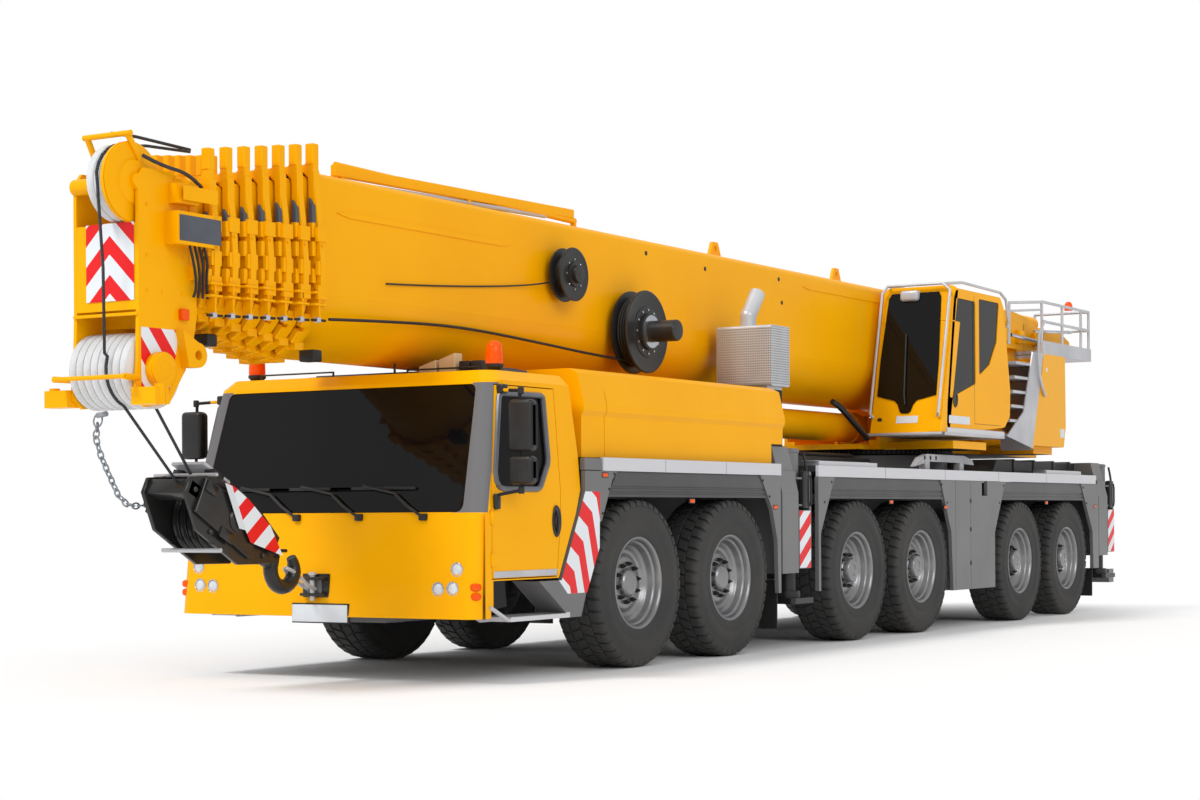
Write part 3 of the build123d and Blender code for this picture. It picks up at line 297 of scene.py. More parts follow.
def stripes_zone(finish):
    """Red and white stripes on the fender behind the doors; they bend down towards the wheel."""
    area = finish.all_of(
        finish.within((4.68, None, 0.66), (5.34, None, 1.478)),
        finish.wide(PANEL_Y - 0.0015),
        finish.past((-0.85, 0.0, 1.0), -3.745),
    )
    front = finish.along((-0.656, 0, 1.0))
    rear = finish.math("ADD", finish.along((-1.586, 0, 0.4531)), 5.183)
    before_fold = finish.past((1.7, 0, 1.0), 9.477)
    turned = finish.mix_value(before_fold, rear, front)
    share = finish.math("FRACT", finish.math("DIVIDE", finish.math("ADD", turned, 2.169), 0.328))
    red = finish.math("GREATER_THAN", share, 0.5)
    finish.zone(area, finish.mix_colour(red, WHITE, RED), 0.35)


def cab_finish():
    finish = yellow_paint("cab_paint")
    room = finish.within((5.03, -1.3, 0.86), (6.0, 1.3, 2.36))
    below = finish.within((5.0, -1.44, None), (6.28, 1.44, 0.86))
    finish.zone(finish.any_of(room, below), SOFT_BLACK, 0.7)
    pillar = finish.all_of(
        finish.past((0, 0, 1), 1.312),
        finish.past((0, 0, -1), -2.315),
        finish.past((1.0, 0, 0.29), 6.648),
        finish.wide(1.2),
    )
    finish.zone(pillar, tone(108, 108, 110), 0.5)
    step_well = finish.all_of(finish.within((6.0, None, 0.45), (6.212, None, 0.79)), finish.wide(1.2))
    finish.zone(step_well, SOFT_BLACK, 0.7)
    finish.zone(finish.past((0, 0, 1), 2.418), tone(84, 88, 96), 0.5)
    return finish.grain(500, 0.05).done()


def glass_finish(name="dark_glass"):
    finish = Finish(name, GLASS, 0.05, shine=0.22)
    return finish.vary(tone(13, 13, 14), 1.2, 0.02).done()


def cab_glass_finish():
    finish = Finish("cab_glass_and_lamps", GLASS, 0.05, shine=0.22)
    finish.vary(tone(12, 12, 13), 1.0, 0.02)
    low = finish.past((0, 0, -1), -1.0)
    reflector = finish.math("SINE", finish.math("MULTIPLY", finish.along((0, 1, 0)), 420.0))
    finish.zone(low, finish.mix_colour(finish.math("GREATER_THAN", reflector, 0.3), tone(208, 212, 218), tone(120, 124, 130)), 0.08)
    finish.zone(finish.past((0, 0, 1), 2.405), SOFT_BLACK, 0.5)
    finish.zone(finish.past((0, 0, 1), 2.468), AMBER, 0.15)
    return finish.done()


def door_finish():
    finish = yellow_paint("door_paint")
    inner = finish.all_of(finish.flip(finish.wide(1.335)), finish.past((0, 0, 1), 1.3))
    finish.zone(inner, SOFT_BLACK, 0.6)
    pane = finish.all_of(
        finish.within((5.387, None, 1.502), (None, None, 2.222)),
        finish.past((-1.0, 0, -0.2294), -6.485),
        finish.past((1.0, 0, 0.79), 6.722),
    )
    finish.zone(pane, GLASS, 0.05)
    finish.zone(finish.wide(1.497), SOFT_BLACK, 0.42)
    return finish.grain(500, 0.05).done()


def hood_finish():
    finish = yellow_paint("hood_paint")
    trough = finish.all_of(finish.flip(finish.wide(0.7)), finish.past((0, 0, 1), 2.0))
    finish.zone(trough, YELLOW_DEEP, 0.4)
    return finish.grain(500, 0.05).done()


def exhaust_finish():
    finish = Finish("perforated_steel", tone(206, 208, 210), 0.38, metal=0.35)
    finish.vary(tone(180, 182, 186), 3.0, 0.1)
    sheet = finish.within((None, None, 2.54), (None, None, 3.11))
    pitch = 0.024
    rows = []
    for direction in ((1, 0, 0), (0, 1, 0), (0, 0, 1)):
        cell = finish.math("FRACT", finish.math("DIVIDE", finish.along(direction), pitch))
        rows.append(finish.math("ABSOLUTE", finish.math("SUBTRACT", cell, 0.5)))
    near = [finish.math("LESS_THAN", row, 0.24) for row in rows]
    side_hole = finish.all_of(near[0], near[2])
    front_hole = finish.all_of(near[1], near[2])
    on_front = finish.any_of(finish.past((1, 0, 0), 1.038), finish.past((-1, 0, 0), -0.642))
    hole = finish.mix_value(on_front, side_hole, front_hole)
    finish.zone(finish.all_of(sheet, hole), tone(74, 75, 78), 0.6)
    finish.zone(finish.past((0, 0, -1), -2.5), SOFT_BLACK, 0.6)
    return finish.done()


def chrome_finish():
    return Finish("bright_steel", tone(205, 208, 212), 0.16, metal=0.9).vary(tone(180, 184, 190), 4.0, 0.08).done()


def silver_finish():
    return Finish("aluminium", SILVER, 0.36, metal=0.25).vary(SILVER_DARK, 3.0, 0.1).grain(240, 0.1).done()


def black_finish(name="black_paint", rough=0.38):
    return Finish(name, tone(30, 30, 31), rough, coat=0.15).vary(tone(44, 43, 42), 3.5, 0.1).grain(300, 0.1).done()


def rubber_finish():
    finish = Finish("tyre_rubber", tone(52, 52, 53), 0.78)
    finish.vary(tone(66, 65, 63), 2.4, 0.08).dust(0.34, 0.55, tone(88, 85, 80))
    return finish.grain(420, 0.3).done()


def rim_finish():
    finish = Finish("rim_enamel", tone(150, 150, 151), 0.3, metal=0.75, shine=0.5)
    return finish.vary(tone(126, 126, 128), 5.0, 0.12).grain(300, 0.08).done()


def walkway_finish():
    finish = Finish("walkway", SILVER, 0.42, metal=0.3).vary(SILVER_DARK, 3.0, 0.12)
    tail = finish.all_of(
        finish.past((-1.0, 0, -0.35), 4.745),
        finish.past((1, 0, 0), -6.67),
        finish.past((0, 0, -1), -3.238),
        finish.flip(finish.wide(1.4515)),
    )
    finish.zone(tail, YELLOW, 0.35)
    return finish.grain(260, 0.1).done()


def super_finish():
    finish = yellow_paint("superstructure_paint")
    finish.zone(finish.past((0, 0, -1), -2.012), SOFT_BLACK, 0.5)
    return finish.grain(400, 0.06).done()


def crane_cab_finish():
    finish = yellow_paint("crane_cab_paint")
    front = finish.all_of(finish.past((1.0, 0, 0.188), -2.395), finish.past((0, 0, 1), 2.26))
    finish.zone(front, YELLOW, 0.32)
    room = finish.within((-4.70, 0.69, 2.28), (-3.10, 1.40, 3.76))
    finish.zone(room, SOFT_BLACK, 0.7)
    finish.zone(finish.past((0, 0, -1), -2.238), SILVER, 0.4)
    return finish.grain(500, 0.05).done()


def sheave_finish():
    finish = Finish("cast_nylon", tone(226, 228, 231), 0.42)
    finish.vary(tone(210, 211, 210), 4.0, 0.08)
    finish.shader.inputs["Subsurface Weight"].default_value = 0.0
    return finish.grain(200, 0.06).done()


def cylinder_finish():
    return yellow_paint("cylinder_paint").grain(500, 0.05).done()


def block_finish():
    finish = Finish("hook_block_black", tone(24, 24, 25), 0.3, coat=0.3).vary(tone(40, 39, 38), 4.0, 0.12)
    return finish.grain(180, 0.12).done()


def rope_finish():
    finish = Finish("wire_rope", tone(74, 76, 80), 0.42, metal=0.6)
    lay = finish.along((120.0, 160.0, 420.0))
    strands = finish.math("SINE", lay)
    finish.zone(finish.math("GREATER_THAN", strands, 0.4), tone(44, 45, 48), 0.6)
    return finish.relief(strands, 0.6, 0.004).done()


def chevron_finish():
    """Chevrons on the head's front plate, pointing up."""
    finish = Finish("chevron_board", WHITE, 0.35)
    rise = finish.math("ADD", finish.along((0, 0, 1)), finish.math("MULTIPLY", finish.math("ABSOLUTE", finish.math("SUBTRACT", finish.along((0, 1, 0)), 0.042)), 0.95))
    share = finish.math("FRACT", finish.math("DIVIDE", rise, 0.27))
    finish.zone(finish.math("GREATER_THAN", share, 0.52), RED, 0.35)
    return finish.done()


def slant_finish(name, direction, pitch, shift=0.0):
    finish = Finish(name, WHITE, 0.35)
    share = finish.math("FRACT", finish.math("DIVIDE", finish.math("ADD", finish.along(direction), shift), pitch))
    finish.zone(finish.math("GREATER_THAN", share, 0.5), RED, 0.35)
    return finish.done()


FINISHES = {
    "yellow": plain_yellow(),
    "grey": chassis_grey().grain(260, 0.08).done(),
    "band": band_finish(),
    "axle": axle_finish(),
    "silver": silver_finish(),
    "chrome": chrome_finish(),
    "black": black_finish(),
    "plastic": black_finish("black_plastic", 0.55),
    "rubber": rubber_finish(),
    "rim": rim_finish(),
    "glass": glass_finish(),
    "nylon": sheave_finish(),
    "block": block_finish(),
    "rope": rope_finish(),
    "cab_skin": yellow_paint("cab_front_paint").grain(500, 0.05).done(),
    "amber": Finish("amber_lens", AMBER, 0.15, shine=0.2).vary(tone(232, 72, 4), 30.0, 0.05).done(),
    "lens": Finish("clear_lens", tone(226, 230, 234), 0.08, shine=0.6).vary(tone(176, 182, 190), 22.0, 0.04).done(),
    "mirror_shell": black_finish("mirror_shell", 0.42),
    "frame_grey": Finish("window_frame", tone(118, 120, 126), 0.35, metal=0.3).vary(tone(92, 94, 100), 4.0, 0.1).done(),
    "brass": Finish("chock_holder", tone(190, 160, 60), 0.5).vary(tone(150, 120, 50), 9.0, 0.1).grain(90, 0.2).done(),
    "galvanised": Finish("galvanised", tone(168, 176, 184), 0.4, metal=0.6).vary(tone(132, 142, 152), 14.0, 0.15).done(),
    "white": Finish("bare_plate", tone(214, 219, 224), 0.3).vary(tone(204, 209, 214), 6.0, 0.05).done(),
    "wood": Finish("rest_block", tone(226, 196, 150), 0.6).vary(tone(206, 172, 128), 8.0, 0.1).grain(90, 0.2).done(),
    "mesh_grey": Finish("air_box", tone(88, 92, 100), 0.5).vary(tone(70, 74, 82), 3.0, 0.1).grain(90, 0.3).done(),
    "chevron": chevron_finish(),
}

CAD_FINISHES = {
    "axle_beams": "axle",
    "chassis_frame": "grey",
    "wheel_arch_bands": "band",
    "engine_block": "axle",
    "hoist_winch": "yellow",
    "crane_cab_glass": "glass",
    "boom_base": "yellow",
    "head_sheaves": "nylon",
    "hook_block": "block",
    "luffing_barrel": "yellow",
    "luffing_rod": "chrome",
    "cable_reels": "black",
}


def dress_cad_nodes():
    own = {
        "carrier_deck": deck_finish(),
        "side_panels": panel_finish(),
        "driver_cab": cab_finish(),
        "cab_glass_and_lamps": cab_glass_finish(),
        "engine_hood": hood_finish(),
        "exhaust": exhaust_finish(),
        "superstructure": super_finish(),
        "side_walkway": walkway_finish(),
        "crane_cab": crane_cab_finish(),
    }
    door = door_finish()
    for name, node in nodes.items():
        if name in own:
            material = own[name]
        elif name in CAD_FINISHES:
            material = FINISHES[CAD_FINISHES[name]]
        elif name.startswith("cab_door"):
            material = door
        elif name.startswith("knuckle"):
            material = FINISHES["axle"]
        elif name.startswith("outrigger_beam"):
            material = FINISHES["grey"]
        elif name.startswith("outrigger_jack"):
            material = FINISHES["black"]
        elif name.startswith("wheel"):
            material = FINISHES["rubber"]
        else:
            material = FINISHES["yellow"]
        if node.material_slots:
            for slot in node.material_slots:
                slot.material = material
        else:
            node.data.materials.append(material)


dress_cad_nodes()


# Modelling steps
def deselect():
    bpy.ops.object.select_all(action="DESELECT")


def only(piece):
    deselect()
    piece.select_set(True)
    bpy.context.view_layer.objects.active = piece


def open_mesh(piece):
    only(piece)
    bpy.ops.object.mode_set(mode="EDIT")
    bpy.ops.mesh.select_all(action="SELECT")


def close_mesh():
    bpy.ops.object.mode_set(mode="OBJECT")


def put(piece, place=(0, 0, 0), turn=(0, 0, 0)):
    """Turns and moves a piece, and keeps both in its mesh."""
    only(piece)
    piece.rotation_euler = tuple(radians(v) for v in turn)
    piece.location = place
    bpy.ops.object.transform_apply(location=True, rotation=True, scale=True)
    return piece


def joined(pieces):
    deselect()
    for piece in pieces:
        piece.select_set(True)
    bpy.context.view_layer.objects.active = pieces[0]
    bpy.ops.object.join()
    return pieces[0]


def copied(piece):
    twin = piece.copy()
    twin.data = piece.data.copy()
    bpy.context.scene.collection.objects.link(twin)
    return twin


def mirrored(piece):
    """The same piece for the other side, with its faces turned the right way round."""
    twin = copied(piece)
    only(twin)
    twin.scale = (1, -1, 1)
    bpy.ops.object.transform_apply(location=False, rotation=False, scale=True)
    open_mesh(twin)
    bpy.ops.mesh.normals_make_consistent(inside=False)
    close_mesh()
    return twin


def finished(piece, name, body, finish, angle=35):
    only(piece)
    piece.name = name
    piece.data.name = name
    piece.data.materials.clear()
    piece.data.materials.append(FINISHES[finish] if isinstance(finish, str) else finish)
    bpy.ops.object.shade_smooth_by_angle(angle=radians(angle))
    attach(piece, body)
    return piece


def block(low, high, soft=0.004, steps=2):
    """A rounded block between two corners."""
    deselect()
    middle = tuple((a + b) / 2 for a, b in zip(low, high))
    bpy.ops.mesh.primitive_cube_add(size=1, location=middle)
    piece = bpy.context.object
    piece.scale = tuple(abs(b - a) for a, b in zip(low, high))
    bpy.ops.object.transform_apply(location=True, rotation=True, scale=True)
    open_mesh(piece)
    bpy.ops.mesh.bevel(offset=soft, segments=steps)
    close_mesh()
    return piece


def turned(profile, steps=48):
    """A solid turned about Z through (radius, height) pairs, closed at both ends."""
    deselect()
    radius, height = profile[0]
    bpy.ops.mesh.primitive_circle_add(vertices=steps, radius=radius, fill_type="NGON")
    piece = bpy.context.object
    open_mesh(piece)
    bpy.ops.transform.translate(value=(0, 0, height))
    for r, z in profile[1:]:
        bpy.ops.mesh.extrude_region_move(TRANSFORM_OT_translate={"value": (0, 0, z - height)})
        bpy.ops.transform.resize(value=(r / radius, r / radius, 1), center_override=(0, 0, z))
        radius, height = r, z
    bpy.ops.mesh.select_all(action="SELECT")
    bpy.ops.mesh.normals_make_consistent(inside=False)
    close_mesh()
    return piece


def turned_ring(profile, steps=72):
    """A ring turned about Z; its profile comes back to its start."""
    deselect()
    radius, height = profile[0]
    bpy.ops.mesh.primitive_circle_add(vertices=steps, radius=radius)
    piece = bpy.context.object
    open_mesh(piece)
    bpy.ops.transform.translate(value=(0, 0, height))
    for r, z in list(profile[1:]) + [profile[0]]:
        bpy.ops.mesh.extrude_region_move(TRANSFORM_OT_translate={"value": (0, 0, z - height)})
        bpy.ops.transform.resize(value=(r / radius, r / radius, 1), center_override=(0, 0, z))
        radius, height = r, z
    bpy.ops.mesh.select_all(action="SELECT")
    bpy.ops.mesh.remove_doubles(threshold=0.0001)
    bpy.ops.mesh.normals_make_consistent(inside=False)
    close_mesh()
    return piece


def cut_plate(points, axis, low, high, soft=0.0):
    """A plate cut to an outline, across the given axis from low to high."""
    deselect()
    bpy.ops.mesh.primitive_circle_add(vertices=len(points), fill_type="NGON")
    piece = bpy.context.object
    place = {
        "x": lambda a, b: (low, a, b),
        "y": lambda a, b: (a, low, b),
        "z": lambda a, b: (a, b, low),
    }[axis]
    for vertex, (a, b) in zip(piece.data.vertices, points):
        vertex.co = place(a, b)
    open_mesh(piece)
    push = tuple(high - low if name == axis else 0.0 for name in "xyz")
    bpy.ops.mesh.extrude_region_move(TRANSFORM_OT_translate={"value": push})
    bpy.ops.mesh.select_all(action="SELECT")
    bpy.ops.mesh.normals_make_consistent(inside=False)
    if soft:
        bpy.ops.mesh.bevel(offset=soft, segments=1)
    close_mesh()
    return piece


def pipe(points, radius, smooth=False, sides=2, sizes=()):
    """A bar, hose or rope along the points, as thick at each as sizes say."""
    curve = bpy.data.curves.new("route", "CURVE")
    curve.dimensions = "3D"
    spline = curve.splines.new("NURBS" if smooth else "POLY")
    spline.points.add(len(points) - 1)
    for point, place in zip(spline.points, points):
        point.co = (*place, 1)
    for point, size in zip(spline.points, sizes):
        point.radius = size
    if smooth:
        spline.order_u = 3
        spline.use_endpoint_u = True
        curve.resolution_u = 6
    curve.bevel_depth = radius
    curve.bevel_resolution = sides
    curve.use_fill_caps = True
    piece = bpy.data.objects.new("route", curve)
    bpy.context.scene.collection.objects.link(piece)
    only(piece)
    bpy.ops.object.convert(target="MESH")
    return bpy.context.object


def bolt(size, height):
    return turned([(size, 0), (size, height * 0.8), (size * 0.82, height), (size * 0.3, height)], 6)


def round_row(piece, count, centre=(0, 0, 0), axis=(0, 0, 1)):
    """Repeats what the mesh holds evenly round an axis."""
    open_mesh(piece)
    bpy.ops.mesh.spin(steps=count - 1, dupli=True, angle=2 * pi * (count - 1) / count, center=centre, axis=axis)
    close_mesh()
    return piece


# Wheels
def tread_block(points, width, skew):
    """One rubber block: its outline in radius and height, as wide as given round the tyre."""
    piece = cut_plate(points, "y", -width / 2, width / 2, 0.003)
    for vertex in piece.data.vertices:
        vertex.co.y += skew * vertex.co.z
    return piece


def make_tyre():
    half = [
        (0.698, 0.0),
        (0.697, 0.100),
        (0.693, 0.168),
        (0.686, 0.192),
        (0.668, 0.207),
        (0.640, 0.2145),
        (0.598, 0.2185),
        (0.592, 0.2215),
        (0.545, 0.2220),
        (0.500, 0.2170),
        (0.495, 0.2145),
        (0.478, 0.2125),
        (0.473, 0.2145),
        (0.438, 0.2060),
        (0.430, 0.2070),
        (0.398, 0.1970),
        (0.374, 0.1800),
    ]
    tyre = turned_ring([(r, z) for r, z in reversed(half)] + [(r, -z) for r, z in half[1:]], 84)
    shoulder = [
        (0.686, 0.112),
        (0.7095, 0.112),
        (0.7085, 0.168),
        (0.7000, 0.196),
        (0.6830, 0.2125),
        (0.6460, 0.2180),
        (0.6460, 0.2080),
        (0.6780, 0.190),
    ]
    pieces = [tyre]
    outer = round_row(tread_block(shoulder, 0.080, 0.18), TREAD_PITCHES)
    inner = copied(outer)
    put(inner, turn=(180, 0, 4))
    pieces += [outer, inner]
    for height, lag in ((0.056, 2.2), (-0.056, 6.4)):
        middle = [(0.686, height - 0.046), (0.7095, height - 0.046), (0.7095, height + 0.046), (0.686, height + 0.046)]
        row = tread_block(middle, 0.086, 0.35 if height > 0 else -0.35)
        put(row, turn=(0, 0, lag))
        pieces.append(round_row(row, TREAD_PITCHES))
    return joined(pieces)


def make_rim(driven):
    barrel = [
        (0.090, -0.030),
        (0.285, -0.030),
        (0.300, 0.000),
        (0.314, 0.050),
        (0.322, -0.150),
        (0.350, -0.172),
        (0.366, -0.186),
        (0.390, -0.197),
        (0.392, -0.186),
        (0.374, -0.176),
        (0.368, 0.170),
        (0.388, 0.186),
        (0.392, 0.196),
        (0.383, 0.201),
        (0.370, 0.195),
        (0.361, 0.176),
        (0.354, 0.150),
        (0.340, 0.142),
        (0.334, 0.132),
        (0.328, 0.092),
        (0.320, 0.080),
        (0.308, 0.074),
        (0.296, 0.056),
        (0.284, 0.040),
        (0.262, 0.034),
        (0.248, 0.036),
        (0.238, 0.052),
        (0.224, 0.068),
        (0.205, 0.071),
    ]
    if driven:
        hub = [(0.138, 0.071), (0.134, 0.086), (0.124, 0.096), (0.120, 0.148), (0.112, 0.157), (0.060, 0.160), (0.056, 0.154), (0.01, 0.154)]
    else:
        hub = [(0.124, 0.071), (0.121, 0.098), (0.112, 0.112), (0.100, 0.120), (0.096, 0.1235), (0.088, 0.1245), (0.01, 0.1245)]
    rim = turned(barrel + hub, 72)
    nut = put(bolt(0.0195, 0.036), (0.164, 0, 0.070))
    stud = put(turned([(0.009, 0), (0.009, 0.052), (0.005, 0.056)], 8), (0.164, 0, 0.070))
    nuts = round_row(joined([nut, stud]), 10)
    return rim, nuts


def build_wheels():
    tyre = make_tyre()
    rims = {False: make_rim(False), True: make_rim(True)}
    for number, x in AXLE_X.items():
        for side, sign in SIDES.items():
            body = "wheel_%d_%s" % (number, side)
            turn = (-90 * sign, 11 * number, 0)
            place = (x, sign * WHEEL_Y, AXLE_Z)
            rubber = put(copied(tyre), place, turn)
            finished(rubber, "tyre_%d_%s" % (number, side), body, "rubber", 40)
            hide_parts(body)
            for part, name, finish in zip(rims[number > 2], ("rim_%d_%s", "rim_nuts_%d_%s"), ("rim", "black")):
                piece = put(copied(part), place, turn)
                finished(piece, name % (number, side), body, finish, 40)
    for piece in (tyre,) + rims[False] + rims[True]:
        bpy.data.objects.remove(piece)


build_wheels()


# Driver's cab
def cab_skin_y(z):
    """Half width of the cab's side at a height."""
    return 1.48 if z < 1.3 else 1.48 - 0.095 * (z - 1.3) / 1.035


def cab_front_x(z):
    """Where the cab's front is at a height: it leans out below the waist and back above it."""
    return 6.36 + 0.15 * (1.3 - z) / 1.3 if z < 1.3 else 6.36 - 0.3 * (z - 1.3) / 1.035


def build_cab_skin():
    """The part of the cab's front below the windscreen, which leans out towards the bumper."""
    low, high = 0.505, 1.299
    reach = cab_front_x(low)
    lean = reach - cab_front_x(high) - 0.0015
    corner = 0.13
    outer = [(6.246, 1.4815)]
    for degrees in range(90, -5, -15):
        a = radians(degrees)
        outer.append((reach - corner + corner * cos(a), 1.4815 - corner + corner * sin(a)))
    inner = [(6.330, 1.34), (6.246, 1.47)]
    ring = outer + [(x, -y) for x, y in reversed(outer)] + [(x, -y) for x, y in reversed(inner)] + inner
    skin = cut_plate(ring, "z", low, high)
    for vertex in skin.data.vertices:
        if vertex.co.z > (low + high) / 2 and vertex.co.x > 6.335:
            vertex.co.x -= lean
        elif vertex.co.z > (low + high) / 2:
            vertex.co.x = min(vertex.co.x, 6.33)
    finished(skin, "cab_front_skin", "carrier", "cab_skin")


def build_cab_front():
    for index, y in enumerate((-0.289, 0.331, 0.948)):
        x = cab_front_x(1.28)
        foot = block((x - 0.01, y - 0.032, 1.252), (x + 0.038, y + 0.032, 1.306), 0.010)
        arm = pipe(
            [
                (x + 0.03, y, 1.28),
                (cab_front_x(1.37) + 0.03, y - 0.16, 1.37),
                (cab_front_x(1.47) + 0.03, y - 0.30, 1.465),
                (cab_front_x(1.53) + 0.022, y - 0.62, 1.525),
            ],
            0.012,
        )
        x = cab_front_x(1.52)
        blade = block((x + 0.004, y - 0.95, 1.493), (x + 0.020, y - 0.12, 1.517), 0.003)
        finished(joined([foot, arm, blade]), "wiper_%d" % (index + 1), "carrier", "plastic")
    for side, sign in SIDES.items():
        rings = []
        domes = []
        for y, z in ((1.255, 0.735), (1.120, 0.730), (1.285, 0.880)):
            x = cab_front_x(z)
            ring = turned_ring([(0.043, -0.012), (0.054, -0.006), (0.055, 0.006), (0.049, 0.009), (0.043, 0.0)], 32)
            rings.append(put(ring, (x, sign * y, z), (0, 90, 0)))
            dome = turned([(0.045, 0.0), (0.040, 0.006), (0.028, 0.010), (0.012, 0.012), (0.002, 0.012)], 32)
            domes.append(put(dome, (x - 0.001, sign * y, z), (0, 90, 0)))
        finished(joined(rings), "lamp_rings_%s" % side, "carrier", "chrome")
        finished(joined(domes), "lamp_lenses_%s" % side, "carrier", "lens")
        lens = [
            block((6.335, sign * 1.395, z), (6.418, sign * 1.470, z + 0.062), 0.022) for z in (0.645, 0.715)
        ]
        finished(joined(lens), "corner_indicator_%s" % side, "carrier", "amber")
        for name, y, low in (("outer", 1.478, 0.486), ("inner", 1.22, 0.478)):
            bar = [(6.27, sign * y, 0.590), (6.225, sign * y, 0.578), (6.02, sign * y, low), (5.20, sign * y, low)]
            finished(pipe(bar, 0.017), "step_rail_%s_%s" % (name, side), "carrier", "silver")
    plate = block((6.452, -0.272, 0.462), (6.462, 0.272, 0.598), 0.004)
    finished(plate, "blank_plate", "carrier", "white")
    holder = block((6.425, -0.282, 0.452), (6.451, 0.282, 0.608), 0.003)
    finished(holder, "plate_holder", "carrier", "plastic")
    pocket = [
        block((6.415, -0.185, 0.650), (6.436, 0.075, 0.840), 0.006),
        block((6.430, -0.165, 0.790), (6.500, 0.055, 0.815), 0.006),
        block((6.430, -0.165, 0.665), (6.500, 0.055, 0.690), 0.006),
    ]
    finished(joined(pocket), "coupling_pocket", "carrier", "block")
    pin = turned([(0.02, 0.0), (0.02, 0.2), (0.032, 0.2), (0.032, 0.22), (0.012, 0.225)], 20)
    finished(put(pin, (6.475, -0.055, 0.63)), "coupling_pin", "carrier", "silver")
    shackle = pipe([(6.47, -0.10, 0.72), (6.60, -0.09, 0.76), (6.78, -0.03, 0.83), (6.90, 0.0, 0.90), (6.84, 0.04, 0.88),
                    (6.70, 0.02, 0.81), (6.56, -0.02, 0.74), (6.47, -0.03, 0.72)], 0.016, True)
    finished(shackle, "tie_shackle", "carrier", "silver")
    underside = block((6.21, -1.38, 0.500), (6.40, 1.38, 0.560), 0.02)
    finished(underside, "bumper_lip", "carrier", "plastic")


def door_edge_pipe(side, points, radius, finish, name):
    sign = SIDES[side]
    route = [(x, sign * (cab_skin_y(z) + 0.002), z) for x, z in points]
    finished(pipe(route + route[:1], radius), name % side, "cab_door_%s" % side, finish)


def build_cab_sides():
    window = [
        (5.58, 1.492),
        (6.04, 1.492),
        (6.10, 1.505),
        (6.137, 1.55),
        (6.142, 1.62),
        (6.008, 2.19),
        (5.985, 2.222),
        (5.95, 2.230),
        (5.42, 2.236),
        (5.386, 2.222),
        (5.380, 2.19),
        (5.378, 1.74),
        (5.392, 1.69),
        (5.51, 1.525),
        (5.54, 1.50),
    ]
    for side, sign in SIDES.items():
        body = "cab_door_" + side
        door_edge_pipe(side, window, 0.023, "frame_grey", "door_window_frame_%s")
        y = cab_skin_y(1.2)
        shell = turned([(0.058, 0.0), (0.064, 0.006), (0.060, 0.013), (0.046, 0.012), (0.040, 0.004), (0.01, 0.003)], 32)
        shell.scale = (1, 2.0, 1)
        put(shell, (5.32, sign * (y - 0.002), 1.24), (-90 * sign, 0, 0))
        grip = pipe([(5.335, sign * (y + 0.004), 1.33), (5.322, sign * (y + 0.022), 1.28), (5.318, sign * (y + 0.022), 1.2), (5.315, sign * (y + 0.004), 1.14)], 0.012, True)
        finished(joined([shell, grip]), "door_handle_%s" % side, body, "black")
        strip = [(5.330, 0.812), (6.205, 0.812), (6.205, 0.862), (5.312, 0.862)]
        trim = cut_plate(strip, "y", sign * 1.478, sign * 1.487, 0.002)
        finished(trim, "door_strip_%s" % side, body, "silver")
        clamps = []
        for z in (2.24, 1.48):
            clamps.append(put(turned([(0.02, 0), (0.024, 0.004), (0.024, 0.05), (0.018, 0.056)], 20), (6.045, sign * 1.63, z - 0.028)))
        finished(joined(clamps), "mirror_clamps_%s" % side, body, "plastic")
        panes = []
        shells = []
        for z0, z1 in ((1.78, 2.165), (1.53, 1.735)):
            panes.append(block((5.990, sign * 1.562, z0 + 0.016), (5.997, sign * 1.738, z1 - 0.016), 0.003))
            shells.append(block((5.998, sign * 1.541, z0 - 0.006), (6.104, sign * 1.755, z1 + 0.006), 0.034, 4))
        finished(joined(shells), "mirror_shells_%s" % side, body, "mirror_shell")
        finished(joined(panes), "mirror_glass_%s" % side, body, "chrome")
        feet = [
            block((6.14, sign * 1.475, 1.335), (6.205, sign * 1.510, 1.455), 0.012, 3),
            block((5.93, sign * 1.375, 2.225), (6.01, sign * 1.440, 2.300), 0.014, 3),
        ]
        finished(joined(feet), "mirror_feet_%s" % side, body, "mirror_shell")


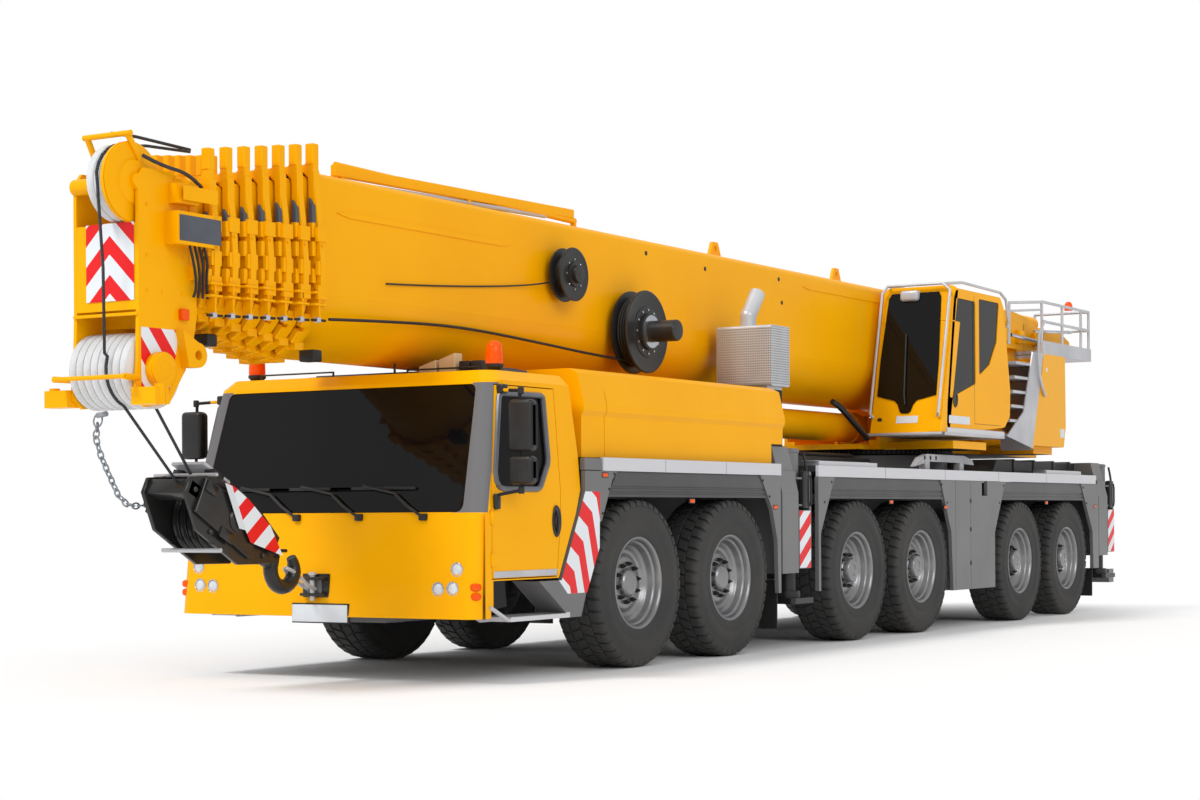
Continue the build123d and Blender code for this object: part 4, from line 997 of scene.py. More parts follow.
def build_cab_roof():
    for index, (y0, y1, low, high) in enumerate(((0.30, 0.47, 2.50, 2.55), (0.50, 0.66, 2.55, 2.60))):
        rest = [(y0, 2.437), (y1, 2.437), (y1, high), (y0, low)]
        finished(cut_plate(rest, "x", 5.43, 5.54, 0.006), "boom_rest_block_%d" % (index + 1), "carrier", "wood")
    bed = block((5.38, 0.22, 2.430), (5.60, 0.92, 2.446), 0.004)
    posts = [block((5.42, y, 2.44), (5.54, y + 0.10, 2.53), 0.006) for y in (0.70, 0.82)]
    ring = put(turned_ring([(0.044, -0.007), (0.058, -0.007), (0.058, 0.007), (0.044, 0.007)], 32), (5.70, 0.18, 2.465), (90, 0, 40))
    finished(joined([bed, ring] + posts), "boom_rest_bed", "carrier", "plastic")
    for side, sign in SIDES.items():
        dome = turned([(0.066, 0.0), (0.070, 0.02), (0.068, 0.10), (0.060, 0.150), (0.044, 0.175), (0.02, 0.188), (0.004, 0.190)], 36)
        finished(put(dome, (5.77, sign * 1.2, 2.468)), "beacon_dome_%s" % side, "carrier", "amber")
        skirt = turned([(0.05, 0.0), (0.066, 0.018), (0.074, 0.022), (0.074, 0.045), (0.02, 0.046)], 32)
        finished(put(skirt, (5.77, sign * 1.2, 2.428)), "beacon_foot_%s" % side, "carrier", "plastic")
    step = block((5.05, -0.95, 2.472), (5.30, 0.95, 2.484), 0.003)
    finished(step, "roof_air_grille", "carrier", "mesh_grey")
    rails = [
        pipe([(5.95, -1.0, 2.415), (5.95, -1.0, 2.455), (5.95, -0.25, 2.455), (5.95, -0.25, 2.415)], 0.01),
        pipe([(5.62, 0.25, 2.415), (5.62, 0.25, 2.47), (5.62, 0.95, 2.47), (5.62, 0.95, 2.415)], 0.01),
    ]
    finished(joined(rails), "roof_rails", "carrier", "plastic")


build_cab_skin()
build_cab_front()
build_cab_sides()
build_cab_roof()


# Carrier
def marker(x, z, side, index):
    sign = SIDES[side]
    base = block((x - 0.05, sign * (PANEL_Y - 0.012), z - 0.022), (x + 0.05, sign * (PANEL_Y + 0.003), z + 0.022), 0.004)
    finished(base, "marker_base_%d_%s" % (index, side), "carrier", "plastic")
    lens = block((x - 0.042, sign * (PANEL_Y - 0.01), z - 0.016), (x + 0.042, sign * (PANEL_Y + 0.004), z + 0.016), 0.004)
    finished(lens, "marker_lens_%d_%s" % (index, side), "carrier", "amber")


def build_carrier_trim():
    places = [(4.60, 1.615), (3.13, 1.405), (1.52, 1.35), (-1.15, 1.405), (-2.62, 1.35), (-5.81, 1.405), (-7.62, 1.36)]
    for side, sign in SIDES.items():
        for index, (x, z) in enumerate(places):
            marker(x, z, side, index + 1)
        heads = []
        for x, z in ((4.45, 1.625), (4.535, 1.50), (4.64, 1.30), (1.775, 1.60), (1.64, 1.45), (0.29, 1.60), (0.45, 1.40), (-2.51, 1.60), (-2.66, 1.40), (-4.37, 1.60), (-4.24, 1.40), (-7.16, 1.60), (-7.29, 1.40)):
            heads.append(put(bolt(0.012, 0.008), (x, sign * (PANEL_Y - 0.001), z), (-90 * sign, 0, 0)))
        finished(joined(heads), "panel_bolts_%s" % side, "carrier", "plastic")
        locks = []
        for z in (0.72, 1.10, 1.42):
            locks.append(put(turned([(0.028, 0), (0.028, 0.004), (0.020, 0.006), (0.008, 0.006)], 20), (-3.35, sign * (PANEL_Y - 0.002), z), (-90 * sign, 0, 0)))
        finished(joined(locks), "locker_locks_%s" % side, "carrier", "plastic")
        joints = [block((x - 0.002, sign * (RAIL_Y - 0.004), 1.652), (x + 0.002, sign * (RAIL_Y + 0.001), 1.758), 0.0004, 1) for x in (3.6, 2.5, -1.0, -2.6, -4.2, -5.8)]
        finished(joined(joints), "rail_joints_%s" % side, "carrier", "plastic")
        corner = cut_plate([(4.640, 1.652), (4.905, 1.652), (4.905, 1.752), (4.640, 1.752)], "y", sign * 1.44, sign * 1.492, 0.004)
        finished(corner, "rail_corner_%s" % side, "carrier", "grey")
        for name, x, z0, z1 in (("middle", 1.42, 0.20, 0.66), ("rear", -7.60, 0.20, 0.56)):
            flap = cut_plate([(x, z0), (x + 0.012, z0), (x + 0.004, z1), (x - 0.008, z1)], "y", sign * 1.06, sign * 1.46, 0.002)
            finished(flap, "mudflap_%s_%s" % (name, side), "carrier", "plastic")
        lids = []
        for x0, x1 in ((-0.72, 0.55), (-7.15, -5.9)):
            for k in range(6):
                x = x0 + (x1 - x0) * k / 6
                lids.append(block((x + 0.01, sign * 1.29, 1.803), (x + (x1 - x0) / 6 - 0.01, sign * 1.445, 1.809), 0.002, 1))
        finished(joined(lids), "deck_lids_%s" % side, "carrier", "silver")


def build_outrigger_trim():
    slant = slant_finish("jack_stripes", (0.75, 0, 1.0), 0.235)
    for where, x in JACK_X.items():
        for side, sign in SIDES.items():
            body = "outrigger_beam_%s_%s" % (where, side)
            lane = x - sign * LANE
            board = block((lane - 0.120, sign * 1.490, 0.765), (lane + 0.120, sign * 1.4945, 1.315), 0.003, 1)
            finished(board, "stripe_board_%s_%s" % (where, side), body, slant)
            cap = turned([(0.118, 0), (0.126, 0.006), (0.126, 0.03), (0.108, 0.042), (0.03, 0.046)], 32)
            put(cap, (lane, sign * 1.29, 1.878))
            ribs = [
                block((lane - 0.135, sign * 1.40, z), (lane + 0.135, sign * 1.47, z + 0.02), 0.004)
                for z in (1.36, 1.62)
            ]
            finished(joined([cap] + ribs), "jack_head_%s_%s" % (where, side), body, "grey")


def build_deck_gear():
    """What lies on the deck: a low dark housing behind the bearing, a dark tunnel with pipes and a drilled beam."""
    lid = cut_plate([(-4.86, 1.755), (-5.02, 1.93), (-7.78, 1.93), (-7.90, 1.86), (-7.90, 1.755)], "y", -1.16, 1.16, 0.01)
    ribs = [block((x, -1.175, 1.76), (x + 0.05, 1.175, 1.942), 0.006) for x in (-5.6, -6.3, -7.0, -7.6)]
    finished(joined([lid] + ribs), "deck_housing", "carrier", "plastic")
    front = cut_plate([(0.35, 1.755), (0.30, 1.90), (-2.55, 1.90), (-2.62, 1.755)], "y", -0.62, 0.62, 0.01)
    pipes = [pipe([(0.2, y, 1.93), (-2.4, y, 1.93)], 0.022) for y in (0.30, 0.38, 0.46)]
    finished(joined([front] + pipes), "deck_tunnel", "carrier", "plastic")
    for side, sign in SIDES.items():
        beam = [(-2.46, 1.80), (-2.60, 1.90), (-2.80, 1.948), (-3.90, 1.948), (-4.15, 1.90), (-4.20, 1.84), (-3.60, 1.86), (-2.90, 1.86)]
        bar = cut_plate(beam, "y", sign * 1.14, sign * 1.20, 0.004)
        feet = [block((x, sign * 1.13, 1.755), (x + 0.12, sign * 1.21, 1.87), 0.005) for x in (-2.86, -3.86)]
        finished(joined([bar] + feet), "drilled_beam_%s" % side, "carrier", "silver")
        holes = []
        for x in (-2.74, -2.90, -3.06):
            disc = turned([(0.026, 0), (0.026, 0.002), (0.01, 0.002)], 20)
            holes.append(put(disc, (x, sign * 1.1995, 1.905), (-90 * sign, 0, 0)))
        finished(joined(holes), "beam_holes_%s" % side, "carrier", "plastic")


def build_jack_trim():
    """Behind each cover: a bent hose and a bracket over the foot."""
    for where, x in JACK_X.items():
        for side, sign in SIDES.items():
            lane = x - sign * LANE
            body = "outrigger_beam_%s_%s" % (where, side)
            hose = pipe([(lane - 0.09, sign * 1.43, 1.88), (lane - 0.10, sign * 1.465, 1.72), (lane - 0.105, sign * 1.465, 1.45),
                         (lane - 0.10, sign * 1.47, 1.33)], 0.014, True)
            grip = pipe([(lane - 0.125, sign * 1.485, 1.36), (lane - 0.128, sign * 1.494, 1.42), (lane - 0.128, sign * 1.494, 1.60),
                         (lane - 0.125, sign * 1.485, 1.66)], 0.010)
            finished(joined([hose, grip]), "jack_hose_%s_%s" % (where, side), body, "plastic")
            tube = block((lane - 0.085, sign * 1.43, 1.34), (lane + 0.02, sign * 1.485, 1.70), 0.01)
            finished(tube, "jack_box_%s_%s" % (where, side), body, "plastic")


build_carrier_trim()
build_outrigger_trim()
build_deck_gear()
build_jack_trim()


# Superstructure
def build_superstructure_trim():
    heads = put(bolt(0.017, 0.02), (0.97, 0, 0))
    round_row(heads, 48)
    put(heads, (-3.8, 0, 2.03))
    finished(heads, "ring_bolts", "superstructure", "yellow")
    teeth = put(block((-0.010, -0.012, 0), (0.012, 0.012, 0.040), 0.003, 1), (1.003, 0, 0))
    round_row(teeth, 110)
    finished(put(teeth, (-3.8, 0, 1.967)), "bearing_teeth", "superstructure", "plastic")
    bars = [
        pipe([on_face(0.625, 2.36, 0.02), on_face(0.605, 2.40, 0.07), on_face(0.605, 3.78, 0.07), on_face(0.66, 3.86, 0.07),
              on_face(1.34, 3.86, 0.07), on_face(1.425, 3.78, 0.07), on_face(1.425, 2.40, 0.07), on_face(1.40, 2.36, 0.02)], 0.017),
        pipe([on_face(1.34, 3.86, 0.05), (-3.30, 1.43, 3.89), (-4.45, 1.44, 3.87), (-4.60, 1.45, 3.80), (-4.64, 1.47, 3.52), (-4.62, 1.455, 3.47)], 0.017),
        pipe([on_face(0.66, 3.86, 0.05), (-3.30, 0.66, 3.88), (-4.40, 0.66, 3.87)], 0.015),
        pipe([(-4.95, 1.36, 3.80), (-5.86, 1.42, 3.875)], 0.018),
        pipe([(-4.95, 1.36, 3.70), (-5.86, 1.42, 3.78)], 0.014),
        pipe([(-4.95, 1.36, 3.81), (-4.93, 1.36, 3.30)], 0.018),
    ]
    finished(joined(bars), "crane_cab_handrails", "superstructure", "silver")
    loop = pipe([(-5.86, 1.47, 3.64), (-5.66, 1.485, 3.50), (-5.60, 1.485, 3.42), (-5.60, 1.485, 2.90), (-5.87, 1.47, 2.72)], 0.018, True)
    finished(loop, "stair_loop", "superstructure", "silver")
    lamp = block((-3.10, 0.82, 3.68), (-2.94, 1.04, 3.80), 0.03, 3)
    finished(lamp, "crane_cab_lamp", "superstructure", "silver")
    plates = [block((-3.45, 1.449, 2.285), (-2.84, 1.453, 2.375), 0.002, 1)]
    finished(joined(plates), "blank_labels", "superstructure", "white")


def face_x(z):
    """The crane cab's front, which leans back as it rises."""
    return -2.605 - 0.262 * (z - 2.18)


def on_face(y, z, out):
    return (face_x(z) + out, y, z)


def face_plate(points, low, high, soft=0.0):
    """A plate that lies on the crane cab's leaning front, from low to high off it."""
    piece = cut_plate(points, "x", low, high, soft)
    for vertex in piece.data.vertices:
        vertex.co.x += face_x(vertex.co.z)
    return piece


def build_crane_cab_front():
    shell = face_plate([(0.590, 2.175), (1.450, 2.175), (1.450, 3.44), (0.590, 3.44)], -0.26, 0.0, 0.012)
    for vertex in shell.data.vertices:
        if vertex.co.x < face_x(vertex.co.z) - 0.13:
            vertex.co.x = min(vertex.co.x, -2.80)
    brow = face_plate([(0.590, 3.43), (1.450, 3.43), (1.450, 3.80), (1.40, 3.845), (0.64, 3.845), (0.590, 3.80)], -0.12, 0.0, 0.012)
    finished(joined([shell, brow]), "crane_cab_front", "superstructure", "yellow")
    glass = [
        (0.645, 2.60),
        (0.86, 2.545),
        (0.905, 2.50),
        (0.935, 2.42),
        (0.96, 2.40),
        (1.04, 2.40),
        (1.065, 2.42),
        (1.09, 2.50),
        (1.13, 2.545),
        (1.355, 2.60),
        (1.345, 3.00),
        (1.30, 3.72),
        (1.27, 3.775),
        (0.70, 3.775),
        (0.665, 3.72),
        (0.640, 3.00),
    ]
    finished(face_plate(glass, 0.0, 0.012), "crane_cab_windscreen", "superstructure", "glass")
    ledge = [
        block((-4.47, 1.30, 2.15), (-2.56, 1.478, 2.182), 0.006),
        block((-2.66, 0.585, 2.15), (-2.555, 1.478, 2.182), 0.006),
    ]
    finished(joined(ledge), "crane_cab_sill", "superstructure", "silver")
    wiper = pipe([on_face(1.00, 2.50, 0.03), on_face(0.98, 2.62, 0.035), on_face(0.93, 3.30, 0.03)], 0.010)
    finished(wiper, "crane_cab_wiper", "superstructure", "plastic")
    handle = turned([(0.058, 0.0), (0.064, 0.006), (0.060, 0.013), (0.046, 0.012), (0.040, 0.004), (0.01, 0.003)], 32)
    handle.scale = (1, 1.5, 1)
    finished(put(handle, (-3.02, 1.4495, 2.56), (-90, 0, 0)), "crane_cab_handle", "superstructure", "black")
    seams = [
        block((-3.605, 1.4485, 2.30), (-3.600, 1.4512, 3.76), 0.0005, 1),
        block((-4.42, 1.4485, 2.300), (-3.60, 1.4512, 2.305), 0.0005, 1),
    ]
    finished(joined(seams), "crane_cab_seams", "superstructure", "plastic")
    labels = [face_plate([(0.90, 2.29), (1.16, 2.29), (1.16, 2.37), (0.90, 2.37)], 0.0, 0.003)]
    finished(joined(labels), "blank_front_label", "superstructure", "white")
    port = put(turned([(0.028, 0), (0.028, 0.004), (0.012, 0.004)], 20), on_face(0.70, 2.33, 0.0), (0, 90, 0))
    finished(port, "crane_cab_port", "superstructure", "plastic")


def build_rear_gear():
    """Above the tail box, beside the boom: a drilled frame, a lying cylinder and its silver rods."""
    frame_points = [(-5.02, 3.29), (-5.02, 3.70), (-5.35, 3.76), (-6.05, 3.70), (-6.45, 3.58), (-7.20, 3.60), (-7.55, 3.50), (-7.55, 3.285)]
    plates = [cut_plate(frame_points, "y", y, y + 0.03, 0.004) for y in (0.72, 1.16)]
    ribs = [block((x, 0.72, 3.30), (x + 0.03, 1.19, 3.62), 0.005) for x in (-5.3, -5.9, -6.6, -7.3)]
    barrel = put(turned([(0.085, 0), (0.095, 0.01), (0.095, 1.15), (0.085, 1.17), (0.03, 1.17)], 32), (-6.75, 0.97, 3.68), (0, 90, 0))
    lugs = [block((x, 1.18, 3.36), (x + 0.16, 1.26, 3.52), 0.02) for x in (-5.20, -5.75, -6.30)]
    finished(joined(plates + ribs + [barrel] + lugs), "rear_gear_frame", "superstructure", "yellow")
    rods = [pipe([(-5.55, 0.97, 3.68), (-5.05, 0.97, 3.68)], 0.04), pipe([(-5.15, 1.30, 3.43), (-6.35, 1.30, 3.40)], 0.024),
            pipe([(-5.9, 1.32, 3.52), (-7.3, 1.30, 3.60)], 0.022)]
    finished(joined(rods), "rear_gear_rods", "superstructure", "chrome")
    box_low = block((-5.0, 0.75, 3.10), (-5.84, 1.10, 3.30), 0.01)
    finished(box_low, "rear_gear_base", "superstructure", "yellow")
    risers = []
    for k in range(6):
        z = 2.19 + 0.175 * k
        x = -5.49 - (z - 2.1) * 0.34
        risers.append(block((x + 0.02, 1.03, z - 0.145), (x + 0.035, 1.434, z + 0.002), 0.002, 1))
        risers.append(block((x, 1.03, z + 0.028), (-4.70 - 0.055 * k, 1.434, z + 0.034), 0.002, 1))
    finished(joined(risers), "stair_plates", "superstructure", "silver")
    lens = turned([(0.05, 0), (0.055, 0.02), (0.05, 0.08), (0.03, 0.11), (0.004, 0.118)], 28)
    finished(put(lens, (-7.35, 1.25, 3.89)), "rear_beacon", "superstructure", "amber")
    plates = [block((-5.95, 1.4495, 3.02), (-6.00, 1.4525, 3.07), 0.002, 1), block((-6.45, 1.4495, 2.22), (-6.60, 1.4525, 2.33), 0.002, 1)]
    finished(joined(plates), "tail_box_labels", "superstructure", "white")
    hose = pipe([(-1.62, 0.60, 2.50), (-1.72, 0.63, 2.47), (-2.03, 0.64, 2.31), (-2.32, 0.63, 2.19), (-2.52, 0.60, 2.13)], 0.034, True)
    finished(hose, "slewing_hose", "superstructure", "plastic")


build_crane_cab_front()
build_superstructure_trim()
build_rear_gear()


# Boom
def build_reels():
    parts = []
    big = [(0.05, 0.06), (0.372, 0.06), (0.380, 0.066), (0.380, 0.078), (0.366, 0.084), (0.290, 0.086), (0.288, 0.208), (0.366, 0.210), (0.380, 0.216), (0.380, 0.230), (0.370, 0.236), (0.340, 0.230), (0.236, 0.228), (0.232, 0.236), (0.170, 0.240), (0.166, 0.272), (0.150, 0.278), (0.098, 0.280), (0.098, 0.545), (0.090, 0.556), (0.03, 0.558)]
    parts.append(put(turned(big, 64), (2.58, 0.5, 2.965), (-90, 0, 0)))
    small = [(0.05, 0.06), (0.228, 0.06), (0.235, 0.066), (0.235, 0.074), (0.224, 0.080), (0.166, 0.082), (0.164, 0.160), (0.224, 0.162), (0.235, 0.168), (0.235, 0.178), (0.224, 0.184), (0.110, 0.180), (0.106, 0.196), (0.080, 0.200), (0.078, 0.238), (0.02, 0.242)]
    parts.append(put(turned(small, 56), (3.75, 0.5, 3.39), (-90, 0, 0)))
    for x, z, size in ((2.58, 2.965, 0.12), (3.75, 3.39, 0.09)):
        parts.append(put(turned([(size, 0), (size, 0.06), (size * 0.8, 0.062)], 24), (x, 0.499, z), (-90, 0, 0)))
    reel = joined(parts)
    finished(reel, "hose_and_cable_reels", "boom_base", "black", 30)
    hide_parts("cable_reels")
    faces = []
    face = turned_ring([(0.10, 0.279), (0.15, 0.279), (0.15, 0.283), (0.10, 0.283)], 48)
    faces.append(put(face, (2.58, 0.5, 2.965), (-90, 0, 0)))
    holes = put(bolt(0.012, 0.01), (0.20, 0, 0.238))
    faces.append(put(round_row(holes, 12), (2.58, 0.5, 2.965), (-90, 0, 0)))
    holes = put(bolt(0.009, 0.008), (0.13, 0, 0.181))
    faces.append(put(round_row(holes, 8), (3.75, 0.5, 3.39), (-90, 0, 0)))
    finished(joined(faces), "reel_fittings", "boom_base", "chrome")
    turns = []
    for k in range(4):
        y = 0.105 + 0.027 * k
        turns.append(put(turned_ring([(0.300, y - 0.012), (0.316, y - 0.010), (0.322, y), (0.316, y + 0.010), (0.300, y + 0.012)], 48), (2.58, 0.5, 2.965), (-90, 0, 0)))
    finished(joined(turns), "reel_hose", "boom_base", "plastic")


def build_boom_lines():
    cable = [(6.25, 0.515, 3.10), (5.7, 0.512, 3.13), (4.6, 0.512, 3.22), (3.95, 0.56, 3.30), (3.80, 0.60, 3.36)]
    finished(pipe(cable, 0.007, True), "sensor_cable", "boom_base", "plastic")
    hose = [(7.05, 0.585, 2.76), (6.4, 0.52, 2.80), (5.3, 0.50, 2.84), (4.2, 0.505, 2.79), (3.2, 0.56, 2.72), (2.75, 0.60, 2.70)]
    finished(pipe(hose, 0.012, True), "boom_hose", "boom_base", "plastic")
    pads = []
    for x, z in ((2.20, 3.74), (1.05, 3.70), (-0.55, 3.74), (-0.62, 3.50)):
        pads.append(put(turned([(0.022, 0), (0.022, 0.004), (0.016, 0.005)], 20), (x, 0.4995, z), (-90, 0, 0)))
    finished(joined(pads), "side_plugs", "boom_base", "plastic")


def collar_body(k):
    return "boom_base" if k == 0 else "boom_section_%d" % k


def build_collar_details():
    """Wear pads, bolts, lower channel brackets and the cable eyes on every collar."""
    for k in range(7):
        front = COLLAR_X + COLLAR_PITCH * k
        w = 0.5 - SECTION_STEP * k
        spread = 0.100 - 0.004 * k
        body = collar_body(k)
        drop = SECTION_STEP * k
        for side, sign in SIDES.items():
            pad = cut_plate(
                [(w + 0.012, 3.66 - drop), (w + 0.052, 3.60 - drop), (w + 0.058, 3.42 - drop * 0.6), (w + 0.012, 3.40 - drop * 0.6)],
                "x",
                front - 0.008,
                front + 0.028,
                0.003,
            )
            if sign < 0:
                pad = swapped(pad)
            finished(pad, "wear_pad_%d_%s" % (k, side), body, "mesh_grey")
            pieces = []
            for z in (3.36, 3.22, 3.02):
                lug = block((front + 0.002, sign * (w + 0.008), z - drop * 0.4), (front + 0.040, sign * (w + 0.062), z + 0.11 - drop * 0.4), 0.004, 1)
                pieces.append(lug)
            channel_y = w + 0.01
            pieces.append(block((front - 0.075, sign * channel_y, 2.852), (front + 0.055, sign * (channel_y + 0.085), 2.870), 0.003, 1))
            pieces.append(block((front - 0.075, sign * channel_y, 2.940), (front + 0.055, sign * (channel_y + 0.085), 2.958), 0.003, 1))
            pieces.append(block((front - 0.012, sign * channel_y, 2.740), (front + 0.004, sign * (channel_y + 0.080), 2.952), 0.003, 1))
            heads = put(bolt(0.009, 0.01), (front - 0.03, sign * (w + spread * 0.93), 3.30), (-90 * sign, 0, 0))
            pieces.append(heads)
            for angle in (205, 222, 240, 258):
                a = radians(angle)
                belly = 0.46 - SECTION_STEP * k
                y = -cos(a) * w
                z = 2.96 + sin(a) * belly
                lump = block((-0.045, -0.055, -0.030), (0.045, 0.055, 0.030), 0.008, 1)
                slope = atan2(sin(a) * belly, -cos(a) * w)
                put(lump, (front + 0.008, sign * y, z - 0.012), (0, 0, 0))
                turn_in_place(lump, (front + 0.008, sign * y, z - 0.012), sign * (slope + pi / 2))
                pieces.append(lump)
            finished(joined(pieces), "collar_fittings_%d_%s" % (k, side), body, "yellow")


def swapped(piece):
    """The piece on the other side of the middle plane."""
    twin = mirrored(piece)
    bpy.data.objects.remove(piece)
    return twin


def turn_in_place(piece, centre, angle):
    """Turns a piece about a line along X through its centre."""
    turn = Matrix.Rotation(angle, 4, "X")
    centre = Vector(centre)
    for vertex in piece.data.vertices:
        vertex.co = turn @ (vertex.co - centre) + centre


def build_head():
    body = "boom_section_7"
    board = block((8.781, -0.182, 2.785), (8.786, 0.266, 3.325), 0.002, 1)
    finished(board, "head_chevron_board", body, "chevron")
    slant = slant_finish("side_stripes", (-0.75, 0, 0.62), 0.19, 0.06)
    triangle = [(8.76, 2.60), (8.38, 2.60), (8.42, 2.40), (8.50, 2.11), (8.76, 2.09)]
    side = cut_plate(triangle, "y", 0.3045, 0.308, 0.001)
    finished(side, "head_side_stripes", body, slant)
    screen = [
        block((8.07, 0.424, 3.215), (8.50, 0.429, 3.395), 0.002, 1),
        block((8.10, 0.424, 3.50), (8.46, 0.428, 3.60), 0.002, 1),
    ]
    finished(screen[0], "junction_box_face", body, "mesh_grey")
    finished(screen[1], "small_box_face", body, "yellow")
    lip = pipe([(8.755, -0.290, 2.690), (8.79, -0.290, 2.690), (8.79, 0.290, 2.690), (8.755, 0.290, 2.690)], 0.012)
    finished(lip, "head_lip", body, "yellow")
    lens = block((8.31, 0.306, 2.672), (8.385, 0.345, 2.752), 0.008)
    finished(lens, "head_marker", body, "amber")
    cap = turned([(0.12, 0), (0.12, 0.012), (0.105, 0.018), (0.06, 0.020), (0.055, 0.014), (0.02, 0.014)], 36)
    put(cap, (8.6, 0.364, 2.31), (-90, 0, 0))
    finished(cap, "axle_cap", body, "yellow")
    rod = pipe([(8.945, -0.34, 2.25), (8.945, 0.34, 2.25)], 0.0155)
    finished(rod, "guard_rod_cover", body, "silver")
    wheel_disc = turned([(0.27, 0), (0.278, 0.006), (0.262, 0.014), (0.16, 0.016), (0.15, 0.030), (0.09, 0.036), (0.02, 0.038)], 48)
    put(wheel_disc, (8.76, 0.232, 3.6), (-90, 0, 0))
    finished(wheel_disc, "top_sheave_cheek", body, "yellow")
    rods = [
        pipe([(8.05, 0.12, 3.93), (8.60, 0.12, 3.945), (8.82, 0.10, 3.94)], 0.012),
        pipe([(8.20, 0.36, 3.62), (8.35, 0.38, 3.70), (8.60, 0.36, 3.72), (8.74, 0.31, 3.78)], 0.014, True),
    ]
    finished(joined(rods), "head_rods", body, "axle")
    heads = []
    for x, z in ((8.35, 2.86), (8.55, 2.86), (8.70, 2.86), (8.35, 3.10), (8.70, 3.10), (8.70, 3.45), (8.42, 3.66)):
        heads.append(put(bolt(0.011, 0.010), (x, 0.3045, z), (-90, 0, 0)))
    finished(joined(heads), "head_bolts", body, "yellow")
    hoses = []
    for k in range(4):
        x = 8.22 + 0.05 * k
        hoses.append(pipe([(x, 0.40, 3.19), (x - 0.02, 0.42, 3.08), (x - 0.05 - 0.02 * k, 0.37, 2.98 - 0.03 * k), (x - 0.10, 0.34, 2.84)], 0.010, True))
    finished(joined(hoses), "head_hoses", body, "plastic")
    lamps = []
    for x, y, z in ((7.95, 0.16, 2.62), (7.05, 0.40, 2.55)):
        lamps.append(block((x - 0.06, y - 0.07, z - 0.10), (x + 0.05, y + 0.07, z - 0.01), 0.012))
    finished(lamps[0], "work_lamp_front", "boom_section_5", "plastic")
    finished(lamps[1], "work_lamp_rear", "boom_base", "plastic")


def build_hoist_rope():
    top = [(8.10, 0.163, 3.905), (8.55, 0.163, 3.885)]
    arc = []
    for degrees in range(100, -5, -15):
        a = radians(degrees)
        arc.append((8.76 + 0.262 * cos(a), 0.150, 3.6 + 0.262 * sin(a)))
    down = [(8.93, 0.12, 3.0), (8.885, 0.085, 2.42)]
    wrap = []
    for degrees in range(20, -75, -15):
        a = radians(degrees)
        wrap.append((8.6 + 0.262 * cos(a), 0.075, 2.31 + 0.262 * sin(a)))
    fall = [(8.36, 0.075, 1.74), (8.13, 0.07, 1.52)]
    rope = pipe(top + arc + down + wrap + fall, 0.011, False, 2)
    second = pipe([(8.52, 0.21, 2.06), (8.08, 0.136, 1.60)], 0.011, False, 2)
    finished(joined([rope, second]), "hoist_rope", "boom_section_7", "rope", 60)


def on_hook(piece):
    """Moves what was shaped along the hook block's own line to where the block hangs."""
    return put(piece, (7.7, 0, 1.27), (0, -27, 0))


